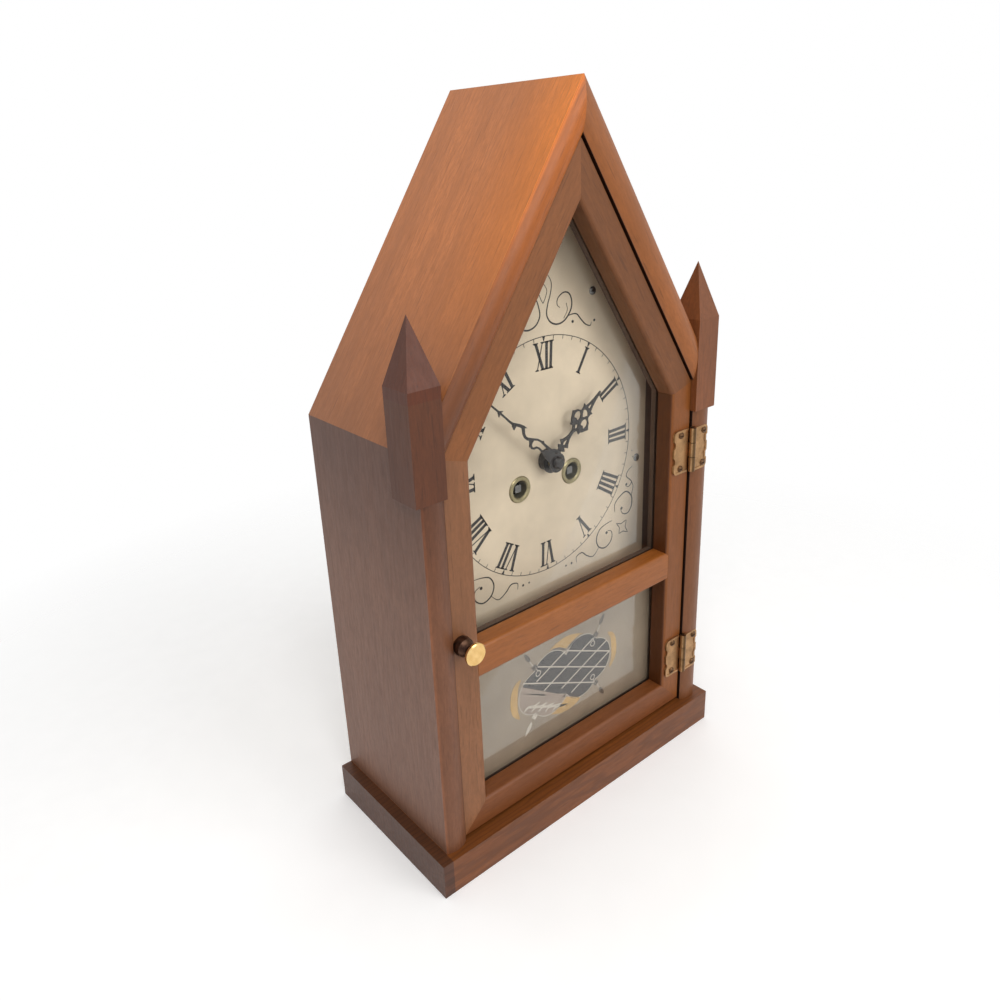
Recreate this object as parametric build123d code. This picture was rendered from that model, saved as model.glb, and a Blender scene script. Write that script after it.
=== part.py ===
from build123d import *
import os
from math import acos, atan2, cos, degrees, pi, radians, sin, sqrt, tan

# Sizes of the case
case_width = 195.4
case_depth = 92.2
shoulder_height = 209.7
roof_rise = 145.6
board_thickness = 12.7
crown_bulge = 1.4
crown_fall = 0.8
crown_place = 5.2
base_thickness = 20.0
base_side_overhang = 6.3
base_front_overhang = 5.6
back_panel_thickness = 5.0
back_rabbet_width = 6.0
back_screw_length = 11.0
back_screw_radius = 1.2
back_screw_head_radius = 2.3
base_screw_length = 36.0
base_screw_radius = 1.9
base_screw_head_radius = 3.8
screw_slot_width = 0.6

# Sizes of the corner finials
finial_outset = 3.3
finial_inset = 13.2
finial_proud = 1.6
finial_depth = 18.0
finial_drop = 20.7
finial_block_height = 50.0
finial_point_height = 29.1

# Sizes of the door
door_gap = 0.9
door_floor_gap = 1.7
door_setback = 2.0
door_thickness = 15.0
door_member_width = 15.0
door_edge_round = 2.0
glass_setback = 10.0
glass_thickness = 2.0
glass_rabbet = 5.0
glass_play = 0.2
bead_overlap = 0.5
mid_rail_bottom = 89.7
mid_rail_height = 17.0
mid_rail_lap = 1.2

# Sizes of the knob and the catch
knob_height = 113.2
knob_place = 4.1
knob_radius = 5.6
knob_neck_radius = 3.2
knob_collar_radius = 4.6
knob_reach = 12.0
knob_screw_radius = 1.5
stop_width = 9.0
stop_depth = 12.0
stop_height = 30.0
catch_radius = 3.5
catch_plate_thickness = 0.8
catch_gap = 0.3

# Sizes of the two hinges
hinge_length = 25.4
hinge_corner_round = 2.6
hinge_bay_round = 3.0
hinge_bay_depth = 1.1
hinge_bay_place = 4.8
hinge_leaf_thickness = 1.0
hinge_border_height = 0.3
hinge_border_width = 1.3
hinge_knuckle_radius = 1.9
hinge_pin_radius = 0.9
hinge_axis_proud = 0.5
hinge_case_leaf_width = 11.8
hinge_door_leaf_width = 13.9
hinge_relief = 0.3
lower_hinge_bottom = 22.3
hinge_below_finial = 9.3
hinge_screw_spacing = 19.4
hinge_screw_inset = 8.2
hinge_screw_radius = 1.1
hinge_screw_head_radius = 1.9
hinge_screw_length = 8.0

# Sizes of the dial
dial_below_shoulder = 32.7
dial_setback = 27.7
dial_plate_thickness = 0.9
dial_plate_half_width = 77.5
dial_board_thickness = 5.0
dial_board_play = 0.5
dial_floor = 95.0
dial_screw_places = ((-34.2, 81.4), (34.2, 81.4), (-70.5, -18.1), (70.5, -18.1))
dial_screw_radius = 1.2
dial_screw_head_radius = 2.2
dial_screw_length = 12.0
cleat_width = 20.0
cleat_thickness = 10.0
grommet_radius = 7.15
grommet_hole_radius = 4.6
grommet_flange = 1.4
grommet_proud = 0.8
centre_hole_radius = 4.6

# Sizes of the hands
hour_hand_length = 46.0
hour_hand_angle = 50.3
hour_hand_hub_radius = 6.35
hour_hand_setback = 22.6
minute_hand_length = 62.0
minute_hand_angle = -46.5
minute_hand_hub_radius = 5.2
minute_hand_setback = 19.0
hand_thickness = 0.6
hand_nut_setback = 16.2
hand_nut_radius = 3.4

# Sizes of the movement
running_fit = 0.05
end_shake = 0.5
motion_space = 9.0
plate_thickness = 1.5
plate_half_width = 42.0
plate_bottom = -45.0
plate_top = 49.0
pillar_radius = 3.0
pillar_places = ((-36.0, -39.0), (36.0, -39.0), (-36.0, 43.0), (36.0, 43.0))
pillar_screw_radius = 1.3
pillar_screw_head_radius = 2.4
pillar_screw_length = 6.0
post_screw_reach = 5.0
pillar_collar_radius = 3.8
pillar_collar_length = 1.5
winding_offset = 18.4
winding_drop = 11.8
winding_square = 4.0
winding_arbor_radius = 2.2
winding_end_setback = 1.2
barrel_radius = 15.5
barrel_wall = 1.0
barrel_teeth = 68
barrel_tooth_module = 0.5
barrel_wheel_thickness = 1.8
centre_arbor_radius = 1.5
cannon_radius = 2.5
cannon_teeth = 16
minute_wheel_teeth = 48
minute_pinion_teeth = 12
hour_wheel_teeth = 48
motion_centre_distance = 20.0
wheel_thickness = 1.6
hour_pipe_radius = 3.6
stud_radius = 1.5
stud_head_radius = 2.4
pressure_angle = 28.0
tooth_addendum = 0.8
tooth_dedendum = 1.15
tooth_backlash = 0.14

# Sizes of the pendulum and its hanging
pendulum_drop = 152.0
pendulum_pivot_rise = 46.0
pendulum_clearance = 5.2
pendulum_back_room = 10.4
pendulum_rod_radius = 1.2
bob_radius = 17.0
bob_thickness = 7.0
rating_nut_radius = 3.5
rating_nut_thickness = 3.0
suspension_pin_radius = 2.4
suspension_slot = 2.6
suspension_strip_thickness = 0.4
suspension_strip_width = 5.0
suspension_strip_length = 24.0
cock_width = 14.0
cock_height = 9.0
rod_top_block = 6.0

# Sizes of the striking work
gong_place = (49.0, 15.0)
gong_block_size = (26.0, 16.0, 16.0)
gong_rod_radius = 1.3
gong_rod_spacing = 12.0
gong_rod_top = 118.0
hammer_place = (24.0, -37.0)
hammer_arbor_radius = 1.2
hammer_head_drop = 32.0
hammer_head_radius = 3.5
hammer_arm_width = 3.0
hammer_gap = 1.3

# Sizes worked out from those above
half_width = case_width / 2
slope = roof_rise / half_width
roof_angle = atan2(roof_rise, half_width)
base_depth = case_depth + base_front_overhang
case_back = base_depth / 2
case_front = case_back - case_depth
base_top = base_thickness
shoulder = base_top + shoulder_height
apex = shoulder + roof_rise
door_inset = board_thickness + door_gap
door_front = case_front + door_setback
door_back = door_front + door_thickness
door_floor = base_top + door_floor_gap
door_half_width = half_width - door_inset
glass_front = door_front + glass_setback
glass_back = glass_front + glass_thickness
mid_rail_floor = base_top + mid_rail_bottom
mid_rail_top = mid_rail_floor + mid_rail_height
dial_face = case_front + dial_setback
dial_board_front = dial_face + dial_plate_thickness
dial_board_back = dial_board_front + dial_board_thickness
dial_centre = shoulder - dial_below_shoulder
dial_bottom = base_top + dial_floor
hinge_axis_x = half_width - board_thickness - door_gap / 2
hinge_axis_y = case_front - hinge_axis_proud
front_plate_front = dial_board_back + motion_space
front_plate_back = front_plate_front + plate_thickness
back_panel_front = case_back - back_panel_thickness
pendulum_y = back_panel_front - pendulum_back_room
back_plate_back = pendulum_y - pendulum_clearance
back_plate_front = back_plate_back - plate_thickness
pivot_height = dial_centre + pendulum_pivot_rise
upper_hinge_bottom = shoulder_height - finial_drop - hinge_below_finial - hinge_length


# Shapes used by several pieces

def house(inset, floor):
    """Corners of the case outline moved inward by inset, standing on floor."""
    half = half_width - inset
    top = apex - inset / cos(roof_angle)
    eaves = top - half * slope
    return [(-half, floor), (half, floor), (half, eaves), (0, top), (-half, eaves)]


def facing(y):
    """Upright plane at y whose own axes are X and Z, facing the front."""
    return Plane(origin=(0, y, 0), x_dir=(1, 0, 0), z_dir=(0, -1, 0))


def prism(points, front, back):
    """Straight prism over a closed outline in X and Z."""
    outline = make_face(Polyline(*points, close=True))
    return extrude(facing(back) * outline, amount=back - front)


def block(x_low, x_high, y_low, y_high, z_low, z_high):
    """Rectangular block between two corners."""
    size = (x_high - x_low, y_high - y_low, z_high - z_low)
    middle = ((x_low + x_high) / 2, (y_low + y_high) / 2, (z_low + z_high) / 2)
    return Pos(*middle) * Box(*size)


def rod(x, z, radius, front, back):
    """Round rod running from front to back."""
    return extrude(facing(back) * Pos(x, z) * Circle(radius), amount=back - front)


def lathe(x, z, steps):
    """Turned piece on a front to back axis from pairs of y and radius."""
    points = [(steps[0][0], 0)] + list(steps) + [(steps[-1][0], 0)]
    half = make_face(Polyline(*points, close=True))
    plane = Plane(origin=(x, 0, z), x_dir=(0, 1, 0), z_dir=(1, 0, 0))
    return revolve(plane * half, axis=Axis((x, 0, z), (0, 1, 0)))


def swapped(piece):
    """The same piece on the other side of the middle."""
    return mirror(piece, about=Plane.YZ)


def joined(pieces):
    """One node holding several separate solids."""
    return Compound(children=[solid for piece in pieces for solid in piece.solids()])


def screw(x, z, face, length, radius, head_radius, slotted):
    """Countersunk screw driven towards the back, head flush with face."""
    head = head_radius - radius
    blank = lathe(x, z, [(face, head_radius), (face + head, radius), (face + length, radius)])
    if not slotted:
        return blank
    slot = block(x - head_radius, x + head_radius, face, face + head / 2, z - screw_slot_width / 2, z + screw_slot_width / 2)
    return blank - slot


def round_screw(x, z, face, length, radius, head_radius, slotted):
    """Round headed screw driven towards the back, head standing on face."""
    dome = head_radius * 0.55
    head = [(face - dome, head_radius * 0.35), (face - dome * 0.75, head_radius * 0.75)]
    head += [(face - dome * 0.3, head_radius), (face, head_radius)]
    blank = lathe(x, z, head + [(face, radius), (face + length, radius)])
    if not slotted:
        return blank
    slot = block(x - head_radius, x + head_radius, face - dome, face - dome / 2, z - screw_slot_width / 2, z + screw_slot_width / 2)
    return blank - slot


def rear_screw(x, z, face, length, radius, head_radius, slotted):
    """Countersunk screw driven towards the front, head flush with face."""
    head = head_radius - radius
    blank = lathe(x, z, [(face - length, radius), (face - head, radius), (face, head_radius)])
    if not slotted:
        return blank
    slot = block(x - head_radius, x + head_radius, face - head / 2, face, z - screw_slot_width / 2, z + screw_slot_width / 2)
    return blank - slot


def gear_outline(teeth, module, first_tooth):
    """Closed outline of an involute wheel with one tooth centred on first_tooth."""
    pitch = teeth * module / 2
    base = pitch * cos(radians(pressure_angle))
    outer = pitch + tooth_addendum * module
    root = pitch - tooth_dedendum * module
    half_tooth = (pi * module / 2 - tooth_backlash * module) / 2 / pitch
    rolled = tan(radians(pressure_angle)) - radians(pressure_angle)
    start = max(base, root)
    flank = []
    for step in range(4):
        radius = start + (outer - start) * step / 3
        lean = acos(min(1, base / radius))
        flank.append((radius, half_tooth + rolled - (tan(lean) - lean)))
    if root < base:
        flank = [(root, flank[0][1])] + flank
    points = []
    for tooth in range(teeth):
        middle = radians(first_tooth) + 2 * pi * tooth / teeth
        sides = [(r, middle - a) for r, a in flank] + [(r, middle + a) for r, a in reversed(flank)]
        points += [(r * cos(a), r * sin(a)) for r, a in sides]
    return make_face(Polyline(*points, close=True))


def wheel(x, z, teeth, module, first_tooth, front, back):
    """Toothed wheel lying between front and back."""
    outline = gear_outline(teeth, module, first_tooth)
    return extrude(facing(back) * Pos(x, z) * outline, amount=back - front)


# Case

def crowned_board(x, z, inward, reach):
    """Board along the case wall whose front edge is gently rounded."""
    plane = Plane(origin=(x, case_front, z), x_dir=(inward[0], 0, inward[1]),
                  z_dir=(-inward[1], 0, inward[0]))
    edge = ThreePointArc((0, 0), (crown_place, -crown_bulge), (board_thickness, crown_fall))
    rest = Polyline((board_thickness, crown_fall), (board_thickness, case_depth),
                    (0, case_depth), (0, 0))
    return extrude(plane * make_face(edge + rest), amount=reach, both=True)


def make_base_board():
    return block(-half_width - base_side_overhang, half_width + base_side_overhang,
                 -base_depth / 2, base_depth / 2, 0, base_thickness)


def make_right_finial():
    low = half_width - finial_inset
    high = half_width + finial_outset
    front = case_front - finial_proud
    back = front + finial_depth
    floor = shoulder - finial_drop
    top = floor + finial_block_height
    post = block(low, high, front, back, floor, top)
    middle = Vector((low + high) / 2, (front + back) / 2, top + finial_point_height)
    corners = [Vector(low, front, top), Vector(high, front, top),
               Vector(high, back, top), Vector(low, back, top)]
    sides = [Face(Wire.make_polygon([corners[k], corners[(k + 1) % 4], middle])) for k in range(4)]
    foot = Face(Wire.make_polygon(corners))
    return post + Solid(Shell(sides + [foot]))


def wall_outline():
    """Outline of the right side board seen from the front."""
    outer = house(0, base_top)
    inner = house(board_thickness, base_top)
    return [outer[1], outer[2], inner[2], inner[1]]


def roof_outline():
    """Outline of the right roof board seen from the front."""
    outer = house(0, base_top)
    inner = house(board_thickness, base_top)
    return [outer[2], outer[3], inner[3], inner[2]]


def back_panel_outline():
    return house(board_thickness - back_rabbet_width, base_top)


def make_right_side_board(finial, hinge_space):
    front = case_front - 2 * crown_bulge
    board = crowned_board(half_width, base_top, (-1, 0), apex)
    board = board & prism(wall_outline(), front, case_back)
    board = board - prism(back_panel_outline(), back_panel_front, case_back + 1)
    return board - finial - hinge_space


def make_right_roof_board(finial):
    front = case_front - 2 * crown_bulge
    inward = (-sin(roof_angle), -cos(roof_angle))
    board = crowned_board(half_width, shoulder, inward, apex)
    board = board & prism(roof_outline(), front, case_back)
    board = board - prism(back_panel_outline(), back_panel_front, case_back + 1)
    return board - finial


def make_back_panel():
    return prism(back_panel_outline(), back_panel_front, case_back)


def back_screw_places():
    """Middle of the rabbet at even heights on the walls and on the slopes."""
    line = house(board_thickness - back_rabbet_width / 2, base_top)
    low, eaves, top = line[1], line[2], line[3]
    walls = [(low[0], base_top + (eaves[1] - base_top) * share) for share in (0.12, 0.5, 0.9)]
    slopes = [(eaves[0] * (1 - s), eaves[1] + (top[1] - eaves[1]) * s) for s in (0.3, 0.8)]
    right = walls + slopes
    return right + [(-x, z) for x, z in right]


def make_back_screws(slotted):
    return [rear_screw(x, z, case_back, back_screw_length, back_screw_radius, back_screw_head_radius, slotted)
            for x, z in back_screw_places()]


def make_base_screws(slotted):
    """Screws driven upward through the base into the side boards."""
    x = half_width - board_thickness / 2
    screws = []
    for side in (-x, x):
        for y in (case_front + case_depth * 0.25, case_front + case_depth * 0.75):
            head, shank = base_screw_head_radius, base_screw_radius
            outline = [(0, 0), (head, 0), (shank, head - shank), (shank, base_screw_length), (0, base_screw_length)]
            half = make_face(Polyline(*outline, close=True))
            plane = Plane(origin=(side, y, 0), x_dir=(1, 0, 0), z_dir=(0, -1, 0))
            body = revolve(plane * half, axis=Axis((side, y, 0), (0, 0, 1)))
            if slotted:
                slot = screw_slot_width / 2
                body = body - block(side - head, side + head, y - slot, y + slot, 0, (head - shank) / 2)
            screws.append(body)
    return screws


# Door

def member_bar(x, z, inward, width, rounded_both):
    """Long door bar whose outer edge passes through x and z."""
    plane = Plane(origin=(x, door_front, z), x_dir=(inward[0], 0, inward[1]),
                  z_dir=(-inward[1], 0, inward[0]))
    turn = door_edge_round
    away = turn * (1 - sqrt(0.5))
    seat = width - glass_rabbet
    near = ThreePointArc((width - turn, 0), (width - away, away), (width, turn))
    if rounded_both:
        far = ThreePointArc((0, turn), (away, away), (turn, 0))
        rest = Polyline((width, turn), (width, glass_setback), (seat, glass_setback),
                        (seat, door_thickness), (glass_rabbet, door_thickness),
                        (glass_rabbet, glass_setback), (0, glass_setback), (0, turn))
        face = make_face(near + rest + far + Line((turn, 0), (width - turn, 0)))
    else:
        rest = Polyline((width, turn), (width, glass_setback), (seat, glass_setback),
                        (seat, door_thickness), (0, door_thickness), (0, 0), (width - turn, 0))
        face = make_face(near + rest)
    return extrude(plane * face, amount=apex, both=True)


def door_outer():
    return house(door_inset, door_floor)


def door_opening():
    return house(door_inset + door_member_width, door_floor + door_member_width)


def glass_seat():
    """Outline of the rabbet that holds the glass."""
    edge = door_member_width - glass_rabbet
    return house(door_inset + edge, door_floor + edge)


def make_right_stile():
    outer, inner = door_outer(), door_opening()
    bar = member_bar(outer[1][0], outer[1][1], (-1, 0), door_member_width, False)
    return bar & prism([outer[1], outer[2], inner[2], inner[1]], door_front, door_back)


def make_right_rafter():
    outer, inner = door_outer(), door_opening()
    inward = (-sin(roof_angle), -cos(roof_angle))
    bar = member_bar(outer[2][0], outer[2][1], inward, door_member_width, False)
    return bar & prism([outer[2], outer[3], inner[3], inner[2]], door_front, door_back)


def make_bottom_rail():
    outer, inner = door_outer(), door_opening()
    bar = member_bar(outer[0][0], outer[0][1], (0, 1), door_member_width, False)
    return bar & prism([outer[0], outer[1], inner[1], inner[0]], door_front, door_back)


def make_mid_rail(stiles):
    """Rail fitted over the rounded inner edges of both stiles."""
    reach = door_half_width - door_member_width + mid_rail_lap
    bar = member_bar(0, mid_rail_floor, (0, 1), mid_rail_height, True)
    bar = bar & block(-reach, reach, door_front, door_back, mid_rail_floor, mid_rail_top)
    for stile in stiles:
        bar = bar - stile
    return bar


def glass_corners(upper, play):
    """Outline of one glass, smaller than its seat by play."""
    edge = door_member_width - glass_rabbet + play
    points = house(door_inset + edge, door_floor + edge)
    if upper:
        floor = mid_rail_top - glass_rabbet + play
        return [(points[0][0], floor), (points[1][0], floor)] + points[2:]
    top = mid_rail_floor + glass_rabbet - play
    return [points[0], points[1], (points[1][0], top), (points[0][0], top)]


def make_glass(upper):
    return prism(glass_corners(upper, glass_play), glass_front, glass_back)


def make_beads(upper):
    ring = prism(glass_corners(upper, 0), glass_back, door_back)
    return ring - prism(glass_corners(upper, glass_rabbet - bead_overlap), glass_back - 1, door_back + 1)


def knob_centre():
    return (-(door_half_width - knob_place), base_top + knob_height)


def make_knob():
    x, z = knob_centre()
    reach = door_front - knob_reach
    steps = [(reach, knob_radius - 0.5), (reach + 0.4, knob_radius), (reach + 1.5, knob_radius)]
    steps += [(reach + 3.0, knob_neck_radius + 0.6), (reach + 4.6, knob_neck_radius)]
    steps += [(reach + 6.0, knob_neck_radius + 0.5), (door_front - 4.2, knob_collar_radius)]
    steps += [(door_front - 1.6, knob_collar_radius + 0.3), (door_front, knob_collar_radius)]
    return lathe(x, z, steps) - make_knob_screw(False)


def make_knob_screw(slotted):
    x, z = knob_centre()
    length = door_thickness + knob_reach / 2
    return rear_screw(x, z, door_back, length, knob_screw_radius, knob_screw_radius * 2, slotted)


def catch_height():
    return mid_rail_floor + mid_rail_height / 2 - stop_height


def make_door_stop():
    """Small block on the left wall that the closed door rests against."""
    left = -(half_width - board_thickness)
    front = door_back + catch_plate_thickness + catch_gap
    z = catch_height()
    body = block(left, left + stop_width, front, front + stop_depth,
                 z - stop_height / 2, z + stop_height / 2)
    return body - make_catch_magnet()


def catch_x():
    return -(half_width - board_thickness) + stop_width / 2 + catch_gap


def make_catch_magnet():
    front = door_back + catch_plate_thickness + catch_gap
    return rod(catch_x(), catch_height(), catch_radius, front, front + stop_depth / 2)


def make_catch_plate():
    return rod(catch_x(), catch_height(), catch_radius, door_back, door_back + catch_plate_thickness)


# Hinges

def leaf_outline(width, margin):
    """Outline of a hinge leaf with round corners and two bays in its outer side, drawn in by margin."""
    half = hinge_length / 2 - margin
    side = width - margin
    corner = hinge_corner_round - margin
    shape = Pos((side - corner) / 2, 0) * Rectangle(side - corner, 2 * half)
    shape += Pos(side - corner / 2, 0) * Rectangle(corner, 2 * (half - corner))
    bay = width + hinge_bay_round - hinge_bay_depth
    for turn in (-1, 1):
        shape += Pos(side - corner, turn * (half - corner)) * Circle(corner)
        shape -= Pos(bay, turn * hinge_bay_place) * Circle(hinge_bay_round + margin)
    return shape


def leaf(width, front):
    """Hinge leaf with its raised border, lying towards positive X."""
    outline = leaf_outline(width, 0)
    body = extrude(facing(front + hinge_leaf_thickness) * outline, amount=hinge_leaf_thickness)
    border = outline - leaf_outline(width, hinge_border_width)
    return body + extrude(facing(front + 0.1) * border, amount=hinge_border_height + 0.1)


def hinge_middles():
    bottoms = (lower_hinge_bottom, upper_hinge_bottom)
    return [base_top + bottom + hinge_length / 2 for bottom in bottoms]


def knuckle_spans():
    """Heights of the three knuckles: case, door and case again."""
    third = hinge_length / 3
    half_gap = hinge_relief / 2
    low = -hinge_length / 2
    return [(low, low + third - half_gap), (low + third + half_gap, -low - third - half_gap),
            (-low - third + half_gap, -low)]


def upright_rod(x, y, radius, low, high):
    return Pos(x, y, (low + high) / 2) * Cylinder(radius, high - low)


def knuckle(span, middle, bore):
    low, high = middle + span[0], middle + span[1]
    body = upright_rod(hinge_axis_x, hinge_axis_y, hinge_knuckle_radius, low, high)
    return body - upright_rod(hinge_axis_x, hinge_axis_y, bore, low - 1, high + 1)


def pin_space(middle):
    return upright_rod(hinge_axis_x, hinge_axis_y, hinge_pin_radius,
                       middle - hinge_length, middle + hinge_length)


def case_leaf_front():
    return case_front - hinge_leaf_thickness - 0.2


def door_leaf_front():
    return door_front - hinge_leaf_thickness


def hinge_screw_places(side):
    """X and Z of both screws of every leaf on one side."""
    reach = hinge_screw_inset + (0.5 if side > 0 else 0)
    return [(hinge_axis_x + side * reach, middle + way * hinge_screw_spacing / 2)
            for middle in hinge_middles() for way in (-1, 1)]


def make_hinge_screws(side, slotted):
    face = case_leaf_front() if side > 0 else door_leaf_front()
    return [round_screw(x, z, face, hinge_screw_length, hinge_screw_radius,
                        hinge_screw_head_radius, slotted) for x, z in hinge_screw_places(side)]


def make_case_leaves():
    leaves = []
    keep = hinge_knuckle_radius + hinge_relief
    for middle in hinge_middles():
        spans = knuckle_spans()
        body = Pos(hinge_axis_x, 0, middle) * leaf(hinge_case_leaf_width, case_leaf_front())
        body -= block(hinge_axis_x - keep, hinge_axis_x + keep, case_front - 9, case_front + 9,
                      middle + spans[1][0] - hinge_relief, middle + spans[1][1] + hinge_relief)
        body -= pin_space(middle)
        for span in (spans[0], spans[2]):
            body += knuckle(span, middle, hinge_pin_radius)
        leaves.append(body)
    for part in make_hinge_screws(1, False):
        leaves = [body - part for body in leaves]
    return leaves


def make_door_leaves():
    leaves = []
    keep = hinge_knuckle_radius + hinge_relief
    for middle in hinge_middles():
        spans = knuckle_spans()
        body = Pos(0, 0, middle) * leaf(hinge_door_leaf_width, door_leaf_front())
        body = Pos(hinge_axis_x, 0, 0) * swapped(body)
        for span in (spans[0], spans[2]):
            body -= block(hinge_axis_x - keep, hinge_axis_x + keep, case_front - 9, case_front + 9,
                          middle + span[0] - hinge_relief, middle + span[1] + hinge_relief)
        body -= upright_rod(hinge_axis_x, hinge_axis_y, hinge_knuckle_radius,
                            middle - hinge_length, middle + hinge_length)
        body += knuckle(spans[1], middle, hinge_pin_radius + running_fit)
        body -= block(hinge_axis_x, hinge_axis_x + keep, hinge_axis_y + hinge_knuckle_radius * 0.9,
                      door_front + 1, middle - hinge_length, middle + hinge_length)
        leaves.append(body)
    for part in make_hinge_screws(-1, False):
        leaves = [body - part for body in leaves]
    return leaves


def make_hinge_pins():
    half = hinge_length / 2
    return [upright_rod(hinge_axis_x, hinge_axis_y, hinge_pin_radius, middle - half, middle + half)
            for middle in hinge_middles()]


def hinge_space():
    """Room cut from the wall for knuckles, leaves and screws."""
    room = None
    for middle in hinge_middles():
        half = hinge_length / 2
        seat = block(hinge_axis_x, half_width + 1, case_front - 5, case_leaf_front() + hinge_leaf_thickness,
                     middle - half, middle + half)
        round_room = upright_rod(hinge_axis_x, hinge_axis_y, hinge_knuckle_radius + hinge_relief,
                                 middle - half - hinge_relief, middle + half + hinge_relief)
        room = seat + round_room if room is None else room + seat + round_room
    for part in make_hinge_screws(1, False):
        room = room + part
    return room


# Dial

def dial_plate_outline():
    return house(half_width - dial_plate_half_width, dial_bottom)


def dial_board_outline():
    return house(board_thickness + dial_board_play, dial_bottom)


def winding_places():
    z = dial_centre - winding_drop
    return [(-winding_offset, z), (winding_offset, z)]


def make_dial_screws(slotted):
    return [round_screw(x, dial_centre + z, dial_face, dial_screw_length, dial_screw_radius,
                        dial_screw_head_radius, slotted) for x, z in dial_screw_places]


def make_grommets():
    front = dial_face - grommet_proud
    steps = [(front, grommet_hole_radius + 0.6), (front, grommet_radius - 0.5)]
    steps += [(dial_face - 0.2, grommet_radius), (dial_face, grommet_radius)]
    steps += [(dial_face, grommet_radius - grommet_flange)]
    steps += [(dial_board_back, grommet_radius - grommet_flange)]
    bore = [(front + 0.6, grommet_hole_radius), (dial_board_back, grommet_hole_radius)]
    rings = []
    for x, z in winding_places():
        points = steps + list(reversed(bore))
        plane = Plane(origin=(x, 0, z), x_dir=(0, 1, 0), z_dir=(1, 0, 0))
        ring = revolve(plane * make_face(Polyline(*points, close=True)), axis=Axis((x, 0, z), (0, 1, 0)))
        rings.append(ring)
    return rings


def dial_holes(front, back):
    """Holes through the dial for the hands and for both grommets."""
    holes = rod(0, dial_centre, centre_hole_radius, front, back)
    for x, z in winding_places():
        holes += rod(x, z, grommet_radius - grommet_flange, front, back)
    return holes


def make_dial_plate():
    body = prism(dial_plate_outline(), dial_face, dial_board_front) - dial_holes(dial_face - 1, dial_board_back + 1)
    for part in make_dial_screws(False):
        body = body - part
    return body


def make_dial_board():
    body = prism(dial_board_outline(), dial_board_front, dial_board_back)
    body = body - dial_holes(dial_face - 1, dial_board_back + 1)
    for part in make_dial_screws(False) + make_post_screws(False):
        body = body - part
    return body


def make_cleats():
    """Strips on the walls and under the slopes that carry the dial board."""
    outer = house(board_thickness, dial_bottom)
    inner = house(board_thickness + cleat_width, dial_bottom)
    back = dial_board_back + cleat_thickness
    wall = prism([outer[1], outer[2], inner[2], inner[1]], dial_board_back, back)
    strip = prism([outer[2], outer[3], inner[3], inner[2]], dial_board_back, back)
    gap = block(-1, 1, dial_board_back - 1, back + 1, dial_bottom, apex)
    pieces = []
    for body in (wall, strip - gap):
        for part in make_dial_screws(False):
            body = body - part
        pieces += [body, swapped(body)]
    return pieces


# Hands

def drawn(points, scale):
    """Flat face over a closed row of points, enlarged by scale."""
    return make_face(Polyline(*[(u * scale, v * scale) for u, v in points], close=True))


def mirrored_points(points):
    """Closed outline from its right half, read from foot to tip."""
    return points + [(-u, v) for u, v in reversed(points)]


def hour_hand_outline():
    """Hour hand pointing up: barbed foot, two pierced rings, crown and spear."""
    unit = hour_hand_length / 46.0
    right = [(1.7, 4.0), (1.3, 7.2), (2.4, 7.6), (3.4, 8.6), (1.6, 9.6), (2.3, 10.2), (4.0, 11.1)]
    right += [(2.6, 12.6), (1.4, 15.0), (1.0, 17.0), (0.9, 19.3), (1.6, 20.6), (2.6, 21.4), (4.5, 20.6)]
    right += [(4.9, 22.2), (6.0, 23.0), (7.2, 24.8), (8.6, 26.6), (7.3, 27.7), (6.0, 29.4), (4.2, 30.3)]
    right += [(3.5, 31.0), (3.6, 33.0), (4.5, 34.4), (2.6, 34.4), (1.7, 37.0), (1.0, 40.5), (0.55, 46.0)]
    shape = drawn(mirrored_points(right), unit)
    shape -= drawn(mirrored_points([(0.5, 10.4), (1.0, 11.4), (0.5, 13.2), (0.1, 14.4)]), unit)
    shape -= drawn(mirrored_points([(0.1, 21.2), (1.3, 22.6), (0.1, 24.0)]), unit)
    shape -= drawn(mirrored_points([(0.1, 28.7), (1.4, 29.9), (2.6, 31.6), (1.6, 32.5), (0.4, 32.9)]), unit)
    shape -= drawn(mirrored_points([(0.9, 34.7), (0.6, 36.5), (0.2, 37.6)]), unit)
    for side in (-1, 1):
        eye = Pos(side * 3.6 * unit, 26.9 * unit) * Ellipse(2.35 * unit, 2.5 * unit)
        shape -= eye - Pos(side * 3.4 * unit, 24.2 * unit) * Circle(1.35 * unit)
    return shape + Circle(hour_hand_hub_radius)


def stroke(points, widths, scale):
    """Curved band through points whose half width changes from point to point."""
    left, right = [], []
    for k, (u, v) in enumerate(points):
        before, after = points[max(k - 1, 0)], points[min(k + 1, len(points) - 1)]
        du, dv = after[0] - before[0], after[1] - before[1]
        size = sqrt(du * du + dv * dv)
        left.append((u - dv / size * widths[k], v + du / size * widths[k]))
        right.append((u + dv / size * widths[k], v - du / size * widths[k]))
    return drawn(left + right[::-1], scale)


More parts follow.
